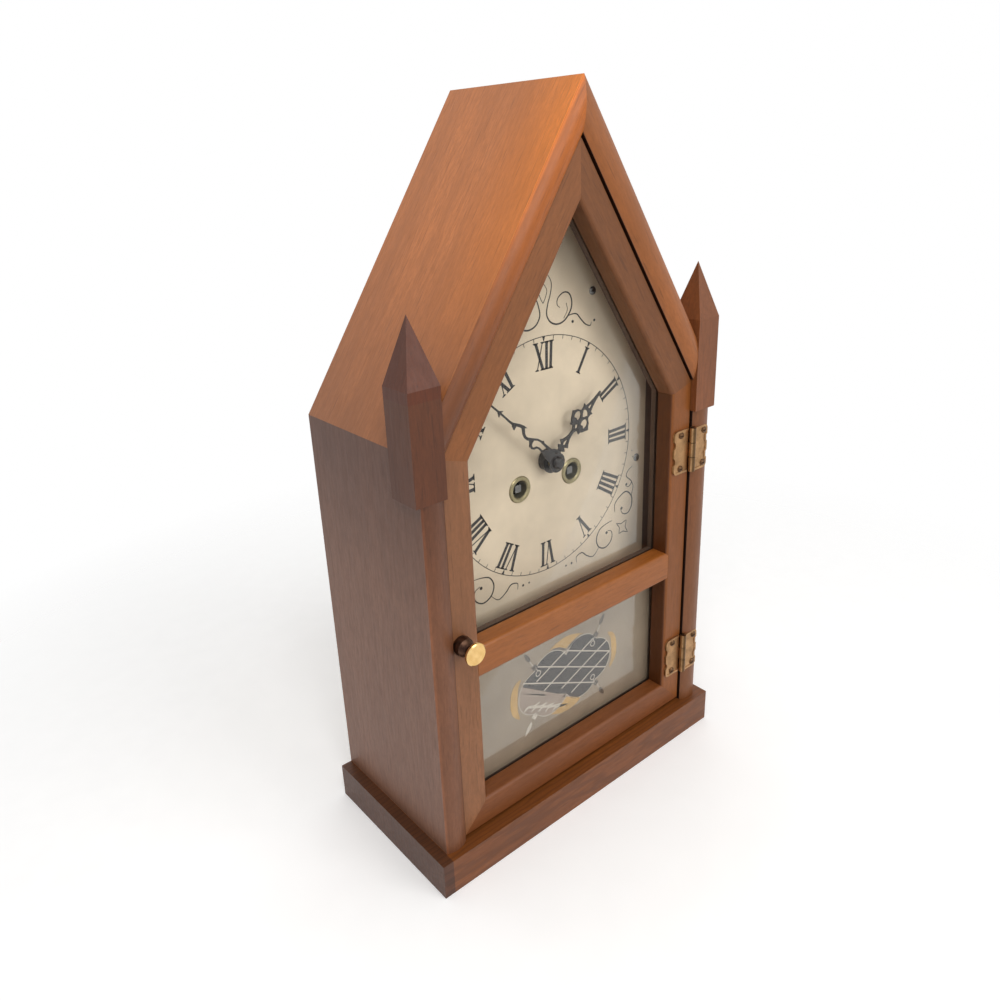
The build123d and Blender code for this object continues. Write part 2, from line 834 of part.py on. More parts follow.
def minute_hand_outline():
    """Minute hand pointing up: open curl at the foot, a bend and a long spear."""
    unit = minute_hand_length / 62.0
    spine = [(1.9, 4.0), (2.7, 9.0), (2.8, 14.0), (2.9, 17.5), (2.4, 20.3), (1.3, 22.5), (0.1, 24.6)]
    spine += [(-0.7, 26.6), (-0.8, 28.4), (-0.1, 30.2), (1.2, 31.7), (2.3, 33.2), (1.9, 35.2)]
    spine += [(1.0, 37.7), (0.2, 40.0), (0.0, 42.5), (0.1, 46.0), (0.1, 51.0), (0.0, 62.0)]
    wide = [0.9, 0.75, 0.6, 0.5, 0.5, 0.55, 0.75, 0.75, 0.65, 0.7, 0.8, 0.9, 0.8]
    wide += [0.75, 0.65, 0.5, 0.45, 0.5, 0.3]
    shape = stroke(spine, wide, unit)
    curl = [(-1.9, 4.0), (-1.6, 9.0), (-0.7, 13.0), (-0.5, 16.4), (-0.9, 18.2), (-2.2, 19.3)]
    curl += [(-2.8, 20.7), (-2.3, 22.2), (-1.0, 23.0), (0.6, 23.0)]
    shape += stroke(curl, [0.9, 0.7, 0.5, 0.5, 0.5, 0.5, 0.55, 0.6, 0.7, 0.7], unit)
    barbs = [[(-3.3, 22.6), (-1.2, 22.4), (0.3, 24.6), (-0.9, 24.9), (-1.6, 23.9)]]
    barbs += [[(2.6, 16.6), (4.0, 16.4), (3.2, 14.8), (2.6, 14.6)], [(3.3, 30.5), (3.2, 33.4), (1.6, 33.0)]]
    barbs += [[(-1.8, 37.2), (0.9, 37.3), (0.6, 39.9), (-0.9, 39.6)], [(1.9, 49.4), (0.0, 52.4), (-1.8, 49.6), (0.0, 50.2)]]
    for barb in barbs:
        shape += drawn(barb, unit)
    shape += drawn([(-1.9, 3.0), (1.9, 3.0), (2.2, 9.0), (0.9, 12.4), (-0.6, 12.4), (-1.7, 9.0)], unit)
    return shape + Circle(minute_hand_hub_radius)


def make_hand(outline, angle, setback, bore):
    front = case_front + setback
    shape = Rot(0, 0, -angle) * outline - Circle(bore)
    return extrude(facing(front + hand_thickness) * Pos(0, dial_centre) * shape, amount=hand_thickness)


def hour_hand_front():
    return case_front + hour_hand_setback


def minute_hand_front():
    return case_front + minute_hand_setback


def make_hour_hand():
    return make_hand(hour_hand_outline(), hour_hand_angle, hour_hand_setback, hour_pipe_radius - 0.4)


def make_minute_hand():
    return make_hand(minute_hand_outline(), minute_hand_angle, minute_hand_setback, centre_arbor_radius)


def make_hand_nut():
    front = case_front + hand_nut_setback
    back = minute_hand_front()
    steps = [(front, hand_nut_radius * 0.6), (front + 0.5, hand_nut_radius * 0.8)]
    steps += [(back - 1.0, hand_nut_radius), (back, hand_nut_radius)]
    nut = lathe(0, dial_centre, steps)
    return nut - rod(0, dial_centre, centre_arbor_radius, front + 0.8, back + 1)


# Motion work between the dial and the movement

def stage_modules():
    """Tooth sizes that give both gear pairs the same centre distance."""
    first = 2 * motion_centre_distance / (cannon_teeth + minute_wheel_teeth)
    second = 2 * motion_centre_distance / (minute_pinion_teeth + hour_wheel_teeth)
    return first, second


def motion_layers():
    """Front and back of cannon pinion, minute wheel, minute pinion and hour wheel."""
    back = front_plate_front - end_shake
    cannon = (back - 2 * wheel_thickness, back)
    minute = (back - wheel_thickness - end_shake, back - end_shake)
    hour_back = cannon[0] - end_shake - 0.3
    hour = (hour_back - wheel_thickness, hour_back)
    pinion = (hour[0] - end_shake, minute[0])
    return cannon, minute, pinion, hour


def make_centre_arbor():
    """Arbor with the cannon pinion and the tube that carries the minute hand."""
    cannon = motion_layers()[0]
    tube_front = minute_hand_front() + hand_thickness
    front = case_front + hand_nut_setback + 0.8
    steps = [(front, centre_arbor_radius), (tube_front, centre_arbor_radius)]
    steps += [(tube_front, cannon_radius), (cannon[1], cannon_radius)]
    steps += [(cannon[1], centre_arbor_radius), (back_plate_back + 1, centre_arbor_radius)]
    body = lathe(0, dial_centre, steps)
    return body + wheel(0, dial_centre, cannon_teeth, stage_modules()[0], 90, cannon[0], cannon[1])


def make_hour_wheel():
    """Hour wheel with the pipe that carries the hour hand."""
    hour = motion_layers()[3]
    hand_back = hour_hand_front() + hand_thickness
    front = hour_hand_front()
    steps = [(front, hour_pipe_radius - 0.4), (hand_back, hour_pipe_radius - 0.4)]
    steps += [(hand_back, hour_pipe_radius), (hour[1], hour_pipe_radius)]
    body = lathe(0, dial_centre, steps)
    first = 90 - 180 / hour_wheel_teeth
    body = body + wheel(0, dial_centre, hour_wheel_teeth, stage_modules()[1], first, hour[0], hour[1])
    return body - rod(0, dial_centre, cannon_radius + running_fit, front - 1, hour[1] + 1)


def stud_height():
    return dial_centre + motion_centre_distance


def make_minute_wheel():
    """Minute wheel and its pinion, one piece on the stud."""
    cannon, minute, pinion, hour = motion_layers()
    z = stud_height()
    first = 270 - 180 / minute_wheel_teeth
    body = wheel(0, z, minute_wheel_teeth, stage_modules()[0], first, minute[0], minute[1])
    body = body + wheel(0, z, minute_pinion_teeth, stage_modules()[1], 270, pinion[0], pinion[1])
    return body - rod(0, z, stud_radius + running_fit, pinion[0] - 1, minute[1] + 1)


def make_minute_stud():
    pinion = motion_layers()[2]
    head = pinion[0] - end_shake
    steps = [(head - 0.8, stud_head_radius), (head, stud_head_radius), (head, stud_radius)]
    steps += [(front_plate_back, stud_radius)]
    return lathe(0, stud_height(), steps)


# Movement

def movement_outline():
    low, high = dial_centre + plate_bottom, dial_centre + plate_top
    return [(-plate_half_width, low), (plate_half_width, low),
            (plate_half_width, high), (-plate_half_width, high)]


def arbor_holes(front, back):
    """Running holes for the arbors through one plate."""
    holes = rod(0, dial_centre, centre_arbor_radius + running_fit, front - 1, back + 1)
    for x, z in winding_places():
        holes += rod(x, z, winding_arbor_radius + running_fit, front - 1, back + 1)
    x, z = hammer_pivot()
    return holes + rod(x, z, hammer_arbor_radius + running_fit, front - 1, back + 1)


def post_places():
    return [(x, dial_centre + z) for x, z in pillar_places]


def make_post_screws(slotted):
    """Long screws from the dial board through posts and plate into the pillars."""
    length = front_plate_back - dial_board_front + post_screw_reach
    return [screw(x, z, dial_board_front, length, pillar_screw_radius, pillar_screw_head_radius, slotted)
            for x, z in post_places()]


def make_rear_pillar_screws(slotted):
    return [rear_screw(x, z, back_plate_back, pillar_screw_length, pillar_screw_radius, pillar_screw_head_radius, slotted)
            for x, z in post_places()]


def bored(bodies, tools):
    """Every body with every tool cut out of it."""
    for tool in tools:
        bodies = [body - tool for body in bodies]
    return bodies


def make_front_plate():
    body = prism(movement_outline(), front_plate_front, front_plate_back)
    body = body - arbor_holes(front_plate_front, front_plate_back)
    return bored([body], make_post_screws(False) + [make_minute_stud()])[0]


def make_back_plate():
    body = prism(movement_outline(), back_plate_front, back_plate_back)
    body = body - arbor_holes(back_plate_front, back_plate_back)
    return bored([body], make_rear_pillar_screws(False))[0]


def make_posts():
    posts = [rod(x, z, pillar_radius, dial_board_back, front_plate_front) for x, z in post_places()]
    return bored(posts, make_post_screws(False))


def make_pillars():
    pillars = []
    for x, z in post_places():
        collar = pillar_collar_radius
        near = front_plate_back + pillar_collar_length
        far = back_plate_front - pillar_collar_length
        steps = [(front_plate_back, collar), (near, collar), (near, pillar_radius)]
        steps += [(far, pillar_radius), (far, collar), (back_plate_front, collar)]
        pillars.append(lathe(x, z, steps))
    return bored(pillars, make_post_screws(False) + make_rear_pillar_screws(False))


def make_winding_arbor(x, z):
    """Arbor through the barrel with a squared end for the key."""
    front = dial_face + winding_end_setback
    square_end = dial_board_back + 1.0
    half = winding_square / 2
    square = block(x - half, x + half, front, square_end, z - half, z + half)
    square = square & rod(x, z, half * 1.25, front, square_end)
    steps = [(square_end, winding_arbor_radius), (back_plate_back + 1.5, winding_arbor_radius)]
    return lathe(x, z, steps) + square


def make_barrel(x, z):
    """Hollow spring barrel with the great wheel cut on its rim."""
    front = front_plate_back + end_shake
    back = back_plate_front - end_shake
    body = rod(x, z, barrel_radius, front, back)
    body = body - rod(x, z, barrel_radius - barrel_wall, front + barrel_wall, back - barrel_wall)
    rim = wheel(x, z, barrel_teeth, barrel_tooth_module, 90, back - barrel_wheel_thickness, back)
    rim = rim - rod(x, z, barrel_radius - barrel_wall, front, back - barrel_wall)
    return body + rim - rod(x, z, winding_arbor_radius + running_fit, front - 1, back + 1)


# Pendulum

def make_suspension_cock():
    """Bracket on the back plate with a slot and half round seats for the pin."""
    half = cock_width / 2
    deep = pendulum_clearance + suspension_strip_width / 2 + 1.0
    back = back_plate_back + deep
    body = block(-half, half, back_plate_back, back, pivot_height - cock_height, pivot_height)
    slot = suspension_slot / 2
    body = body - block(-slot, slot, back_plate_back + 2, back + 1, pivot_height - cock_height - 1, pivot_height + 1)
    seat = rod(0, pivot_height, suspension_pin_radius + running_fit, back_plate_back + 2, back + 1)
    return body - seat


def make_suspension():
    """Pin with the thin strip that hangs from it."""
    wide = suspension_strip_width / 2
    thin = suspension_strip_thickness / 2
    pin = rod(0, pivot_height, suspension_pin_radius, pendulum_y - wide - 0.5, pendulum_y + wide + 0.5)
    strip = block(-thin, thin, pendulum_y - wide, pendulum_y + wide,
                  pivot_height - suspension_strip_length, pivot_height)
    return pin + strip


def make_pendulum_rod():
    top = pivot_height - suspension_strip_length + rod_top_block
    half = rod_top_block / 2
    head = block(-2.0, 2.0, pendulum_y - half, pendulum_y + half, top - rod_top_block - 3, top)
    low = pivot_height - pendulum_drop - bob_radius - rating_nut_thickness - 4
    body = head + upright_rod(0, pendulum_y, pendulum_rod_radius, low, top - rod_top_block)
    return body - make_suspension()


def make_pendulum_bob():
    z = pivot_height - pendulum_drop
    half = bob_thickness / 2
    steps = [(pendulum_y - half, bob_radius * 0.55), (pendulum_y - half * 0.55, bob_radius * 0.88),
             (pendulum_y, bob_radius), (pendulum_y + half * 0.55, bob_radius * 0.88),
             (pendulum_y + half, bob_radius * 0.55)]
    body = lathe(0, z, steps)
    return body - upright_rod(0, pendulum_y, pendulum_rod_radius, z - bob_radius - 1, z + bob_radius + 1)


def make_rating_nut():
    top = pivot_height - pendulum_drop - bob_radius
    nut = upright_rod(0, pendulum_y, rating_nut_radius, top - rating_nut_thickness, top)
    return nut - upright_rod(0, pendulum_y, pendulum_rod_radius, top - rating_nut_thickness - 1, top + 1)


# Striking work

def hammer_pivot():
    return (hammer_place[0], dial_centre + hammer_place[1])


def hammer_depth():
    return (front_plate_back + back_plate_front) / 2


def gong_rod_places():
    half = gong_rod_spacing / 2
    return [gong_place[0] - half, gong_place[0] + half]


def make_gong_block():
    wide, deep, high = gong_block_size
    x, y = gong_place[0], hammer_depth()
    body = block(x - wide / 2, x + wide / 2, y - deep / 2, y + deep / 2, base_top, base_top + high)
    return bored([body], make_gong_rods())[0]


def make_gong_rods():
    low = base_top + gong_block_size[2] * 0.4
    return [upright_rod(x, hammer_depth(), gong_rod_radius, low, base_top + gong_rod_top)
            for x in gong_rod_places()]


def make_hammer():
    x, z = hammer_pivot()
    y = hammer_depth()
    half = hammer_arm_width / 2
    head_end = gong_rod_places()[0] - gong_rod_radius - hammer_gap
    drop = z - hammer_head_drop
    arbor = rod(x, z, hammer_arbor_radius, front_plate_front, back_plate_back)
    boss = rod(x, z, hammer_arbor_radius + 1.6, y - 3, y + 3)
    arm = block(x - half, x + half, y - 1, y + 1, drop, z)
    length = head_end - x + half
    head = Pos(head_end - length / 2, y, drop) * Rot(0, 90, 0) * Cylinder(hammer_head_radius, length)
    return arbor + boss + arm + head


# All the pieces by name

def case_pieces():
    finial = make_right_finial()
    screws = make_base_screws(False) + make_back_screws(False)
    plain_side = make_right_side_board(finial, finial)
    hinge_side = make_right_side_board(finial, hinge_space())
    roof = make_right_roof_board(finial)
    return {
        "base_board": bored([make_base_board()], screws),
        "left_side_board": bored([swapped(plain_side)], screws),
        "right_side_board": bored([hinge_side], screws),
        "left_roof_board": bored([swapped(roof)], screws),
        "right_roof_board": bored([roof], screws),
        "left_finial": [swapped(finial)],
        "right_finial": [finial],
        "back_panel": bored([make_back_panel()], screws),
        "base_screws": make_base_screws(True),
        "back_panel_screws": make_back_screws(True),
        "door_stop": [make_door_stop()],
        "catch_magnet": [make_catch_magnet()],
    }


def door_pieces():
    screws = make_hinge_screws(-1, False)
    right_stile = make_right_stile()
    left_stile = swapped(right_stile)
    rafter = make_right_rafter()
    return {
        "door_left_stile": bored([left_stile], [make_knob_screw(False)]),
        "door_right_stile": bored([right_stile], screws),
        "door_bottom_rail": [make_bottom_rail()],
        "door_mid_rail": [make_mid_rail([left_stile, right_stile])],
        "door_left_rafter": [swapped(rafter)],
        "door_right_rafter": [rafter],
        "upper_glass": [make_glass(True)],
        "lower_glass": [make_glass(False)],
        "upper_glass_beads": [make_beads(True)],
        "lower_glass_beads": [make_beads(False)],
        "door_knob": [make_knob()],
        "knob_screw": [make_knob_screw(True)],
        "catch_plate": [make_catch_plate()],
    }


def hinge_pieces():
    return {
        "hinge_case_leaves": make_case_leaves(),
        "hinge_door_leaves": make_door_leaves(),
        "hinge_pins": make_hinge_pins(),
        "hinge_case_screws": make_hinge_screws(1, True),
        "hinge_door_screws": make_hinge_screws(-1, True),
    }


def dial_pieces():
    return {
        "dial_board": [make_dial_board()],
        "dial_plate": [make_dial_plate()],
        "dial_cleats": make_cleats(),
        "dial_screws": make_dial_screws(True),
        "winding_grommets": make_grommets(),
        "hour_hand": [make_hour_hand()],
        "minute_hand": [make_minute_hand()],
        "hand_nut": [make_hand_nut()],
    }


def movement_pieces():
    left, right = winding_places()
    return {
        "front_movement_plate": [make_front_plate()],
        "back_movement_plate": [make_back_plate()],
        "movement_posts": make_posts(),
        "movement_pillars": make_pillars(),
        "post_screws": make_post_screws(True),
        "pillar_screws": make_rear_pillar_screws(True),
        "strike_barrel": [make_barrel(*left)],
        "time_barrel": [make_barrel(*right)],
        "strike_winding_arbor": [make_winding_arbor(*left)],
        "time_winding_arbor": [make_winding_arbor(*right)],
        "centre_arbor": [make_centre_arbor()],
        "minute_wheel": [make_minute_wheel()],
        "minute_wheel_stud": [make_minute_stud()],
        "hour_wheel": [make_hour_wheel()],
        "suspension_cock": [make_suspension_cock()],
        "suspension_spring": [make_suspension()],
        "pendulum_rod": [make_pendulum_rod()],
        "pendulum_bob": [make_pendulum_bob()],
        "rating_nut": [make_rating_nut()],
        "strike_hammer": [make_hammer()],
        "gong_block": [make_gong_block()],
        "gong_rods": make_gong_rods(),
    }


def write_parts():
    os.makedirs("parts", exist_ok=True)
    for group in (case_pieces(), door_pieces(), hinge_pieces(), dial_pieces(), movement_pieces()):
        for name, bodies in group.items():
            export_step(joined(bodies), "parts/" + name + ".step")


write_parts()
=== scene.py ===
"""A steeple clock: the finished look of its boards, glass, dial, tablet and brasses."""

import math

import bmesh
import bpy
from bpy.props import FloatProperty, FloatVectorProperty
from mathutils import Matrix, Vector


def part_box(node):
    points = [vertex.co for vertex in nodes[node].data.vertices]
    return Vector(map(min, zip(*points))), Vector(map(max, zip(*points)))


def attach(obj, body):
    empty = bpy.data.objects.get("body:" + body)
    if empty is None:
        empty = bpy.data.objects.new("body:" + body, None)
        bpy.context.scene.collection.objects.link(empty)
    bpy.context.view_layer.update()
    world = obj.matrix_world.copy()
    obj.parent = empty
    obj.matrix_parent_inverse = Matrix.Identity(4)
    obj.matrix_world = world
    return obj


bl_info = {
    "name": "Steeple clock",
    "version": (1, 0, 0),
    "blender": (4, 5, 0),
    "location": "View3D > Sidebar > Clock",
    "description": "Dresses the packed steeple clock and sets its stage",
    "category": "Object",
}

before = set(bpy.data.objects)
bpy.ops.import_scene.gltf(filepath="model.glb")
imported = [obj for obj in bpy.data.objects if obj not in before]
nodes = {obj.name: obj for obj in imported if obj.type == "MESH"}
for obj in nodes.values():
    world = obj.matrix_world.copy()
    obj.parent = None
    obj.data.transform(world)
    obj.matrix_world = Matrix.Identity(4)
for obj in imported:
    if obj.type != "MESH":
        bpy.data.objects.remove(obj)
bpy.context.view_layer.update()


# Shared places and sizes, in metres

MM = 0.001
DIAL_Z = 0.5 * sum(corner.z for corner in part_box("centre_arbor"))
DIAL_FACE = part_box("dial_plate")[0].y
TABLET_LOW, TABLET_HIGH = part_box("lower_glass")
TABLET_Z = 0.0716
PRINT_LIFT = 0.00004
BUSH_RADIUS = 0.0058
KNOB_FACE = 0.0017
PAINT_THICKNESS = 0.00005
WELD_REACH = 0.000002
FLOOR_DROP = 0.0002

# How far behind the pane the tablet's coats lie: ground, window of painted shade, sheen, marks and lattice

COAT_DEPTHS = (0.0003, 0.00024, 0.00019, 0.00013, 0.00008)


# The photograph's camera: angles in degrees, lens in millimetres, place in metres

PHOTO_TURN, PHOTO_TIP, PHOTO_ROLL = 38.794, -20.799, -2.533
PHOTO_LENS, PHOTO_SENSOR = 29.99, 36
PHOTO_SHIFT = (0.01115, -0.0361)
PHOTO_PLACE = (-0.2748, -0.3105, 0.3482)


# Colours

def linear(red, green, blue):
    """An sRGB colour of 0 to 255 as the linear RGBA that a shader takes."""
    channels = []
    for value in (red, green, blue):
        part = value / 255
        channels.append(part / 12.92 if part <= 0.04045 else ((part + 0.055) / 1.055) ** 2.4)
    return (*channels, 1.0)


def tinted(colour, factor, tint=(1, 1, 1)):
    """The same colour made lighter or darker, and turned towards a tint."""
    return (*[min(1.0, channel * factor * part) for channel, part in zip(colour[:3], tint)], 1.0)


# Shader nodes

class Shader:
    """A small helper that adds nodes to one material and joins them."""

    def __init__(self, name):
        self.material = bpy.data.materials.new(name)
        self.material.use_nodes = True
        self.tree = self.material.node_tree
        self.tree.nodes.clear()
        self.out = self.node("ShaderNodeOutputMaterial")
        self.surface = self.node("ShaderNodeBsdfPrincipled")
        self.link(self.surface.outputs[0], self.out.inputs["Surface"])
        self.object = self.node("ShaderNodeTexCoord").outputs["Object"]

    def node(self, kind, **settings):
        """Adds a node with its settings."""
        made = self.tree.nodes.new(kind)
        for key, value in settings.items():
            setattr(made, key, value)
        return made

    def link(self, source, target):
        """Joins an output to an input."""
        self.tree.links.new(source, target)

    def mapped(self, turn=(0, 0, 0), size=(1, 1, 1), move=(0, 0, 0)):
        """Object coordinates moved, turned and scaled."""
        turned = self.node("ShaderNodeMapping", vector_type="TEXTURE")
        turned.inputs["Rotation"].default_value = turn
        self.link(self.object, turned.inputs["Vector"])
        scaled = self.node("ShaderNodeMapping")
        scaled.inputs["Scale"].default_value = size
        scaled.inputs["Location"].default_value = move
        self.link(turned.outputs[0], scaled.inputs["Vector"])
        return scaled.outputs[0]

    def noise(self, vector, scale, detail=3.0, rough=0.5, distortion=0.0):
        """Clouds, or grain where the place is drawn out."""
        made = self.node("ShaderNodeTexNoise")
        made.inputs["Scale"].default_value = scale
        made.inputs["Detail"].default_value = detail
        made.inputs["Roughness"].default_value = rough
        made.inputs["Distortion"].default_value = distortion
        self.link(vector, made.inputs["Vector"])
        return made.outputs["Fac"]

    def ramp(self, source, *stops):
        """Each stop is a place from 0 to 1 and a colour."""
        made = self.node("ShaderNodeValToRGB")
        elements = made.color_ramp.elements
        while len(elements) < len(stops):
            elements.new(0.5)
        for element, (place, colour) in zip(elements, stops):
            element.position = place
            element.color = colour if hasattr(colour, "__len__") else (colour, colour, colour, 1)
        self.link(source, made.inputs["Fac"])
        return made.outputs["Color"]

    def spread(self, source, low, high, out_low, out_high):
        """Takes a value from one range to another, and holds it at the ends."""
        made = self.node("ShaderNodeMapRange")
        for name, value in zip(("From Min", "From Max", "To Min", "To Max"), (low, high, out_low, out_high)):
            made.inputs[name].default_value = value
        self.link(source, made.inputs["Value"])
        return made.outputs["Result"]

    def mix(self, amount, first, second, kind="MIX"):
        """amount, first and second are each a socket, a number or a colour."""
        made = self.node("ShaderNodeMix", data_type="RGBA", blend_type=kind)
        for socket, value in ((made.inputs[0], amount), (made.inputs[6], first), (made.inputs[7], second)):
            if isinstance(value, bpy.types.NodeSocket):
                self.link(value, socket)
            else:
                socket.default_value = value
        return made.outputs[2]

    def math(self, kind, first, second):
        """first and second are each a socket or a number."""
        made = self.node("ShaderNodeMath", operation=kind)
        for socket, value in zip(made.inputs, (first, second)):
            if isinstance(value, bpy.types.NodeSocket):
                self.link(value, socket)
            else:
                socket.default_value = value
        return made.outputs[0]

    def axis(self, vector, name):
        """One coordinate of a place."""
        made = self.node("ShaderNodeSeparateXYZ")
        self.link(vector, made.inputs[0])
        return made.outputs[name]

    def dot(self, vector, direction):
        """How far a place lies along a direction."""
        made = self.node("ShaderNodeVectorMath", operation="DOT_PRODUCT")
        made.inputs[1].default_value = direction
        self.link(vector, made.inputs[0])
        return made.outputs["Value"]

    def wave(self, vector, scale, distortion):
        """Wavering bands that follow the grain."""
        made = self.node("ShaderNodeTexWave", bands_direction="Y")
        made.inputs["Scale"].default_value = scale
        made.inputs["Distortion"].default_value = distortion
        made.inputs["Detail"].default_value = 2.0
        made.inputs["Detail Scale"].default_value = 1.2
        self.link(vector, made.inputs["Vector"])
        return made.outputs["Fac"]

    def bump(self, height, strength, distance):
        """A slight relief of the surface."""
        made = self.node("ShaderNodeBump")
        made.inputs["Strength"].default_value = strength
        made.inputs["Distance"].default_value = distance
        self.link(height, made.inputs["Height"])
        self.link(made.outputs[0], self.surface.inputs["Normal"])

    def set(self, **values):
        """Sets inputs of the surface, each to a socket, a number or a colour."""
        for key, value in values.items():
            socket = self.surface.inputs[key.replace("_", " ")]
            if isinstance(value, bpy.types.NodeSocket):
                self.link(value, socket)
            else:
                socket.default_value = value


# Materials

def wood(name, colour, turn=(0, 0, 0), shift=0.0, figure=1.0, rough=0.46, coat=0.12, plain=False, waves=0.0,
         stains_and_painted_light=()):
    """Lacquered wood whose grain runs along the board's own length: turn takes local X to the grain.

    Each stain, and each patch of painted light or shade, is a colour to multiply by, and the zones it is
    limited to: a direction in the board's own axes, how far along it the zone reaches, and how softly it ends
    there. Shift moves the figure, so that no two boards are alike. Plain wood has neither open pores nor
    lacquer, and waves are dark rings of figure.
    """
    shader = Shader(name)

    def along(length, across):
        """The board's own axes, drawn out along the grain."""
        return shader.mapped(turn, (length, across, across), (shift, shift, shift))

    board = shader.mapped(turn)
    cloud_place = shader.mapped(turn, (0.6, 1, 1), (shift, shift * 0.7, shift * 1.3))
    clouds = shader.noise(cloud_place, 19, 3.0, 0.55, 0.6)
    bands = shader.wave(along(0.9, 9), 4.5, 6.0)
    streak = shader.noise(shader.mapped(turn, (9, 60, 60), (shift * 2, shift, shift)), 1.0, 3.0, 0.55, 0.3)
    fibre = shader.noise(along(70, 520), 1.0, 4.0, 0.65)
    flecks = shader.noise(shader.mapped(turn, (260, 900, 900), (0, shift, 0)), 1.0, 3.0, 0.7)
    pores = shader.noise(shader.mapped(turn, (70, 1300, 1300), (shift, 0, 0)), 1.0, 1.0, 0.5)
    figured = shader.wave(along(7, 38), 3.0, 7.0)
    body = shader.ramp(streak, (0.30, tinted(colour, 1 - 0.15 * figure)), (0.52, colour),
                       (0.74, tinted(colour, 1 + 0.15 * figure)))
    cloudy = shader.mix(shader.spread(clouds, 0.36, 0.66, 0, 0.40 * figure), body, tinted(colour, 0.62))
    banded = shader.mix(shader.spread(bands, 0.3, 1.0, 0, 0.14 * figure), cloudy, tinted(colour, 0.58))
    waved = shader.mix(shader.spread(figured, 0.62, 0.95, 0, waves), banded, tinted(colour, 0.42))
    fibred = shader.mix(shader.spread(fibre, 0.42, 0.72, 0, 0.50), waved, tinted(colour, 0.60))
    flecked = shader.mix(shader.spread(flecks, 0.40, 0.62, 0, 0.45), fibred, tinted(colour, 0.62))
    pore_share = 0.0 if plain else 0.5
    final = shader.mix(shader.spread(pores, 0.62, 0.74, 0, pore_share), flecked, tinted(colour, 0.38))
    # Each pass lays one colour: a real stain, or a patch of painted light or shade
    for stain, *zones in stains_and_painted_light:
        share = 1.0
        for direction, level, soft in zones:
            within = shader.spread(shader.dot(board, direction), level - soft, level, 1, 0)
            share = shader.math("MULTIPLY", within, share)
        final = shader.mix(share, final, shader.mix(1.0, final, (*stain, 1), "MULTIPLY"))
    shader.set(Base_Color=final, Roughness=shader.spread(fibre, 0.3, 0.8, rough - 0.04, rough + 0.12))
    shader.set(Specular_IOR_Level=0.3)
    if not plain:
        shader.set(Coat_Weight=coat, Coat_Roughness=0.32)
    shader.bump(shader.math("ADD", fibre, pores), 0.14, 0.0002)
    return shader.material


def aged_metal(name, colour, rough, stain=0.45, metallic=1.0, shade_line=None):
    """Metal with tarnish in patches, fine scratches and a little dullness.

    Shade line is a place in X, where a dark line of painted shade runs, and how far it reaches to each side.
    """
    shader = Shader(name)
    patches = shader.noise(shader.mapped(), 170, 3.0, 0.6)
    specks = shader.noise(shader.mapped(), 900, 2.0, 0.6)
    scratch = shader.noise(shader.mapped((0.3, 0.5, 0.2), (250, 3200, 3200)), 1.0, 1.0)
    tone = shader.mix(shader.spread(patches, 0.38, 0.70, 0, stain), colour, tinted(colour, 0.36))
    final = shader.mix(shader.spread(specks, 0.56, 0.74, 0, stain * 0.7), tone, tinted(colour, 0.24))
    if shade_line:
        middle, reach = shade_line
        offset = shader.math("SUBTRACT", shader.axis(shader.mapped(), "X"), middle)
        away = shader.math("ABSOLUTE", offset, 0.0)
        final = shader.mix(shader.spread(away, reach * 0.6, reach, 0.8, 0), final, tinted(colour, 0.12))
    shader.set(Base_Color=final, Metallic=metallic)
    shader.set(Roughness=shader.spread(patches, 0.3, 0.7, rough, rough + 0.14))
    shader.bump(shader.math("ADD", scratch, specks), 0.10, 0.0001)
    return shader.material


def dark_necked_knob(name, rim):
    """Brass with a polished face and a dark neck behind its rim."""
    shader = Shader(name)
    patches = shader.noise(shader.mapped(), 260, 3.0, 0.6)
    dark = shader.ramp(patches, (0.35, linear(58, 40, 34)), (0.7, linear(112, 84, 66)))
    face = shader.ramp(patches, (0.35, linear(236, 200, 138)), (0.75, linear(214, 172, 104)))
    behind = shader.spread(shader.axis(shader.mapped(), "Y"), rim - 0.0002, rim + 0.0003, 0, 1)
    shader.set(Base_Color=shader.mix(behind, face, dark), Metallic=1.0)
    shader.set(Roughness=shader.spread(behind, 0, 1, 0.17, 0.36))
    shader.bump(patches, 0.06, 0.0001)
    return shader.material


def painted(name, colour, rough=0.5, mottle=0.16, scale=45, grain=0.05):
    """Paint or ink with faint clouds, grain and a slight surface texture."""
    shader = Shader(name)
    clouds = shader.noise(shader.mapped(), scale, 4.0, 0.6)
    grains = shader.noise(shader.mapped(), scale * 28, 2.0, 0.5)
    tone = shader.mix(shader.spread(clouds, 0.34, 0.68, 0, 1.0), tinted(colour, 1 + mottle * 0.5),
                      tinted(colour, 1 - mottle))
    final = shader.mix(shader.spread(grains, 0.4, 0.7, 0, 1.0), tone, tinted(colour, 1 - grain))
    softened = shader.mix(0.55, final, tone)
    shader.set(Base_Color=softened, Roughness=shader.spread(clouds, 0.3, 0.7, rough - 0.06, rough + 0.08))
    shader.bump(grains, 0.06, 0.0001)
    return shader.material


def clear_glass(name):
    """Thin window glass with faint smears, which lets shadows through."""
    shader = Shader(name)
    smears = shader.noise(shader.mapped((0, 0.6, 0), (14, 40, 5)), 1.0, 3.0, 0.6)
    clear = shader.node("ShaderNodeBsdfTransparent")
    clear.inputs["Color"].default_value = (0.985, 0.99, 0.985, 1)
    shine = shader.node("ShaderNodeBsdfGlossy")
    shader.link(shader.spread(smears, 0.35, 0.75, 0.03, 0.16), shine.inputs["Roughness"])
    facing = shader.node("ShaderNodeFresnel")
    facing.inputs["IOR"].default_value = 1.30
    share = shader.math("MULTIPLY", facing.outputs[0], 0.16)
    mixed = shader.node("ShaderNodeMixShader")
    shader.link(share, mixed.inputs[0])
    shader.link(clear.outputs[0], mixed.inputs[1])
    shader.link(shine.outputs[0], mixed.inputs[2])
    shader.link(mixed.outputs[0], shader.out.inputs["Surface"])
    shader.tree.nodes.remove(shader.surface)
    return shader.material


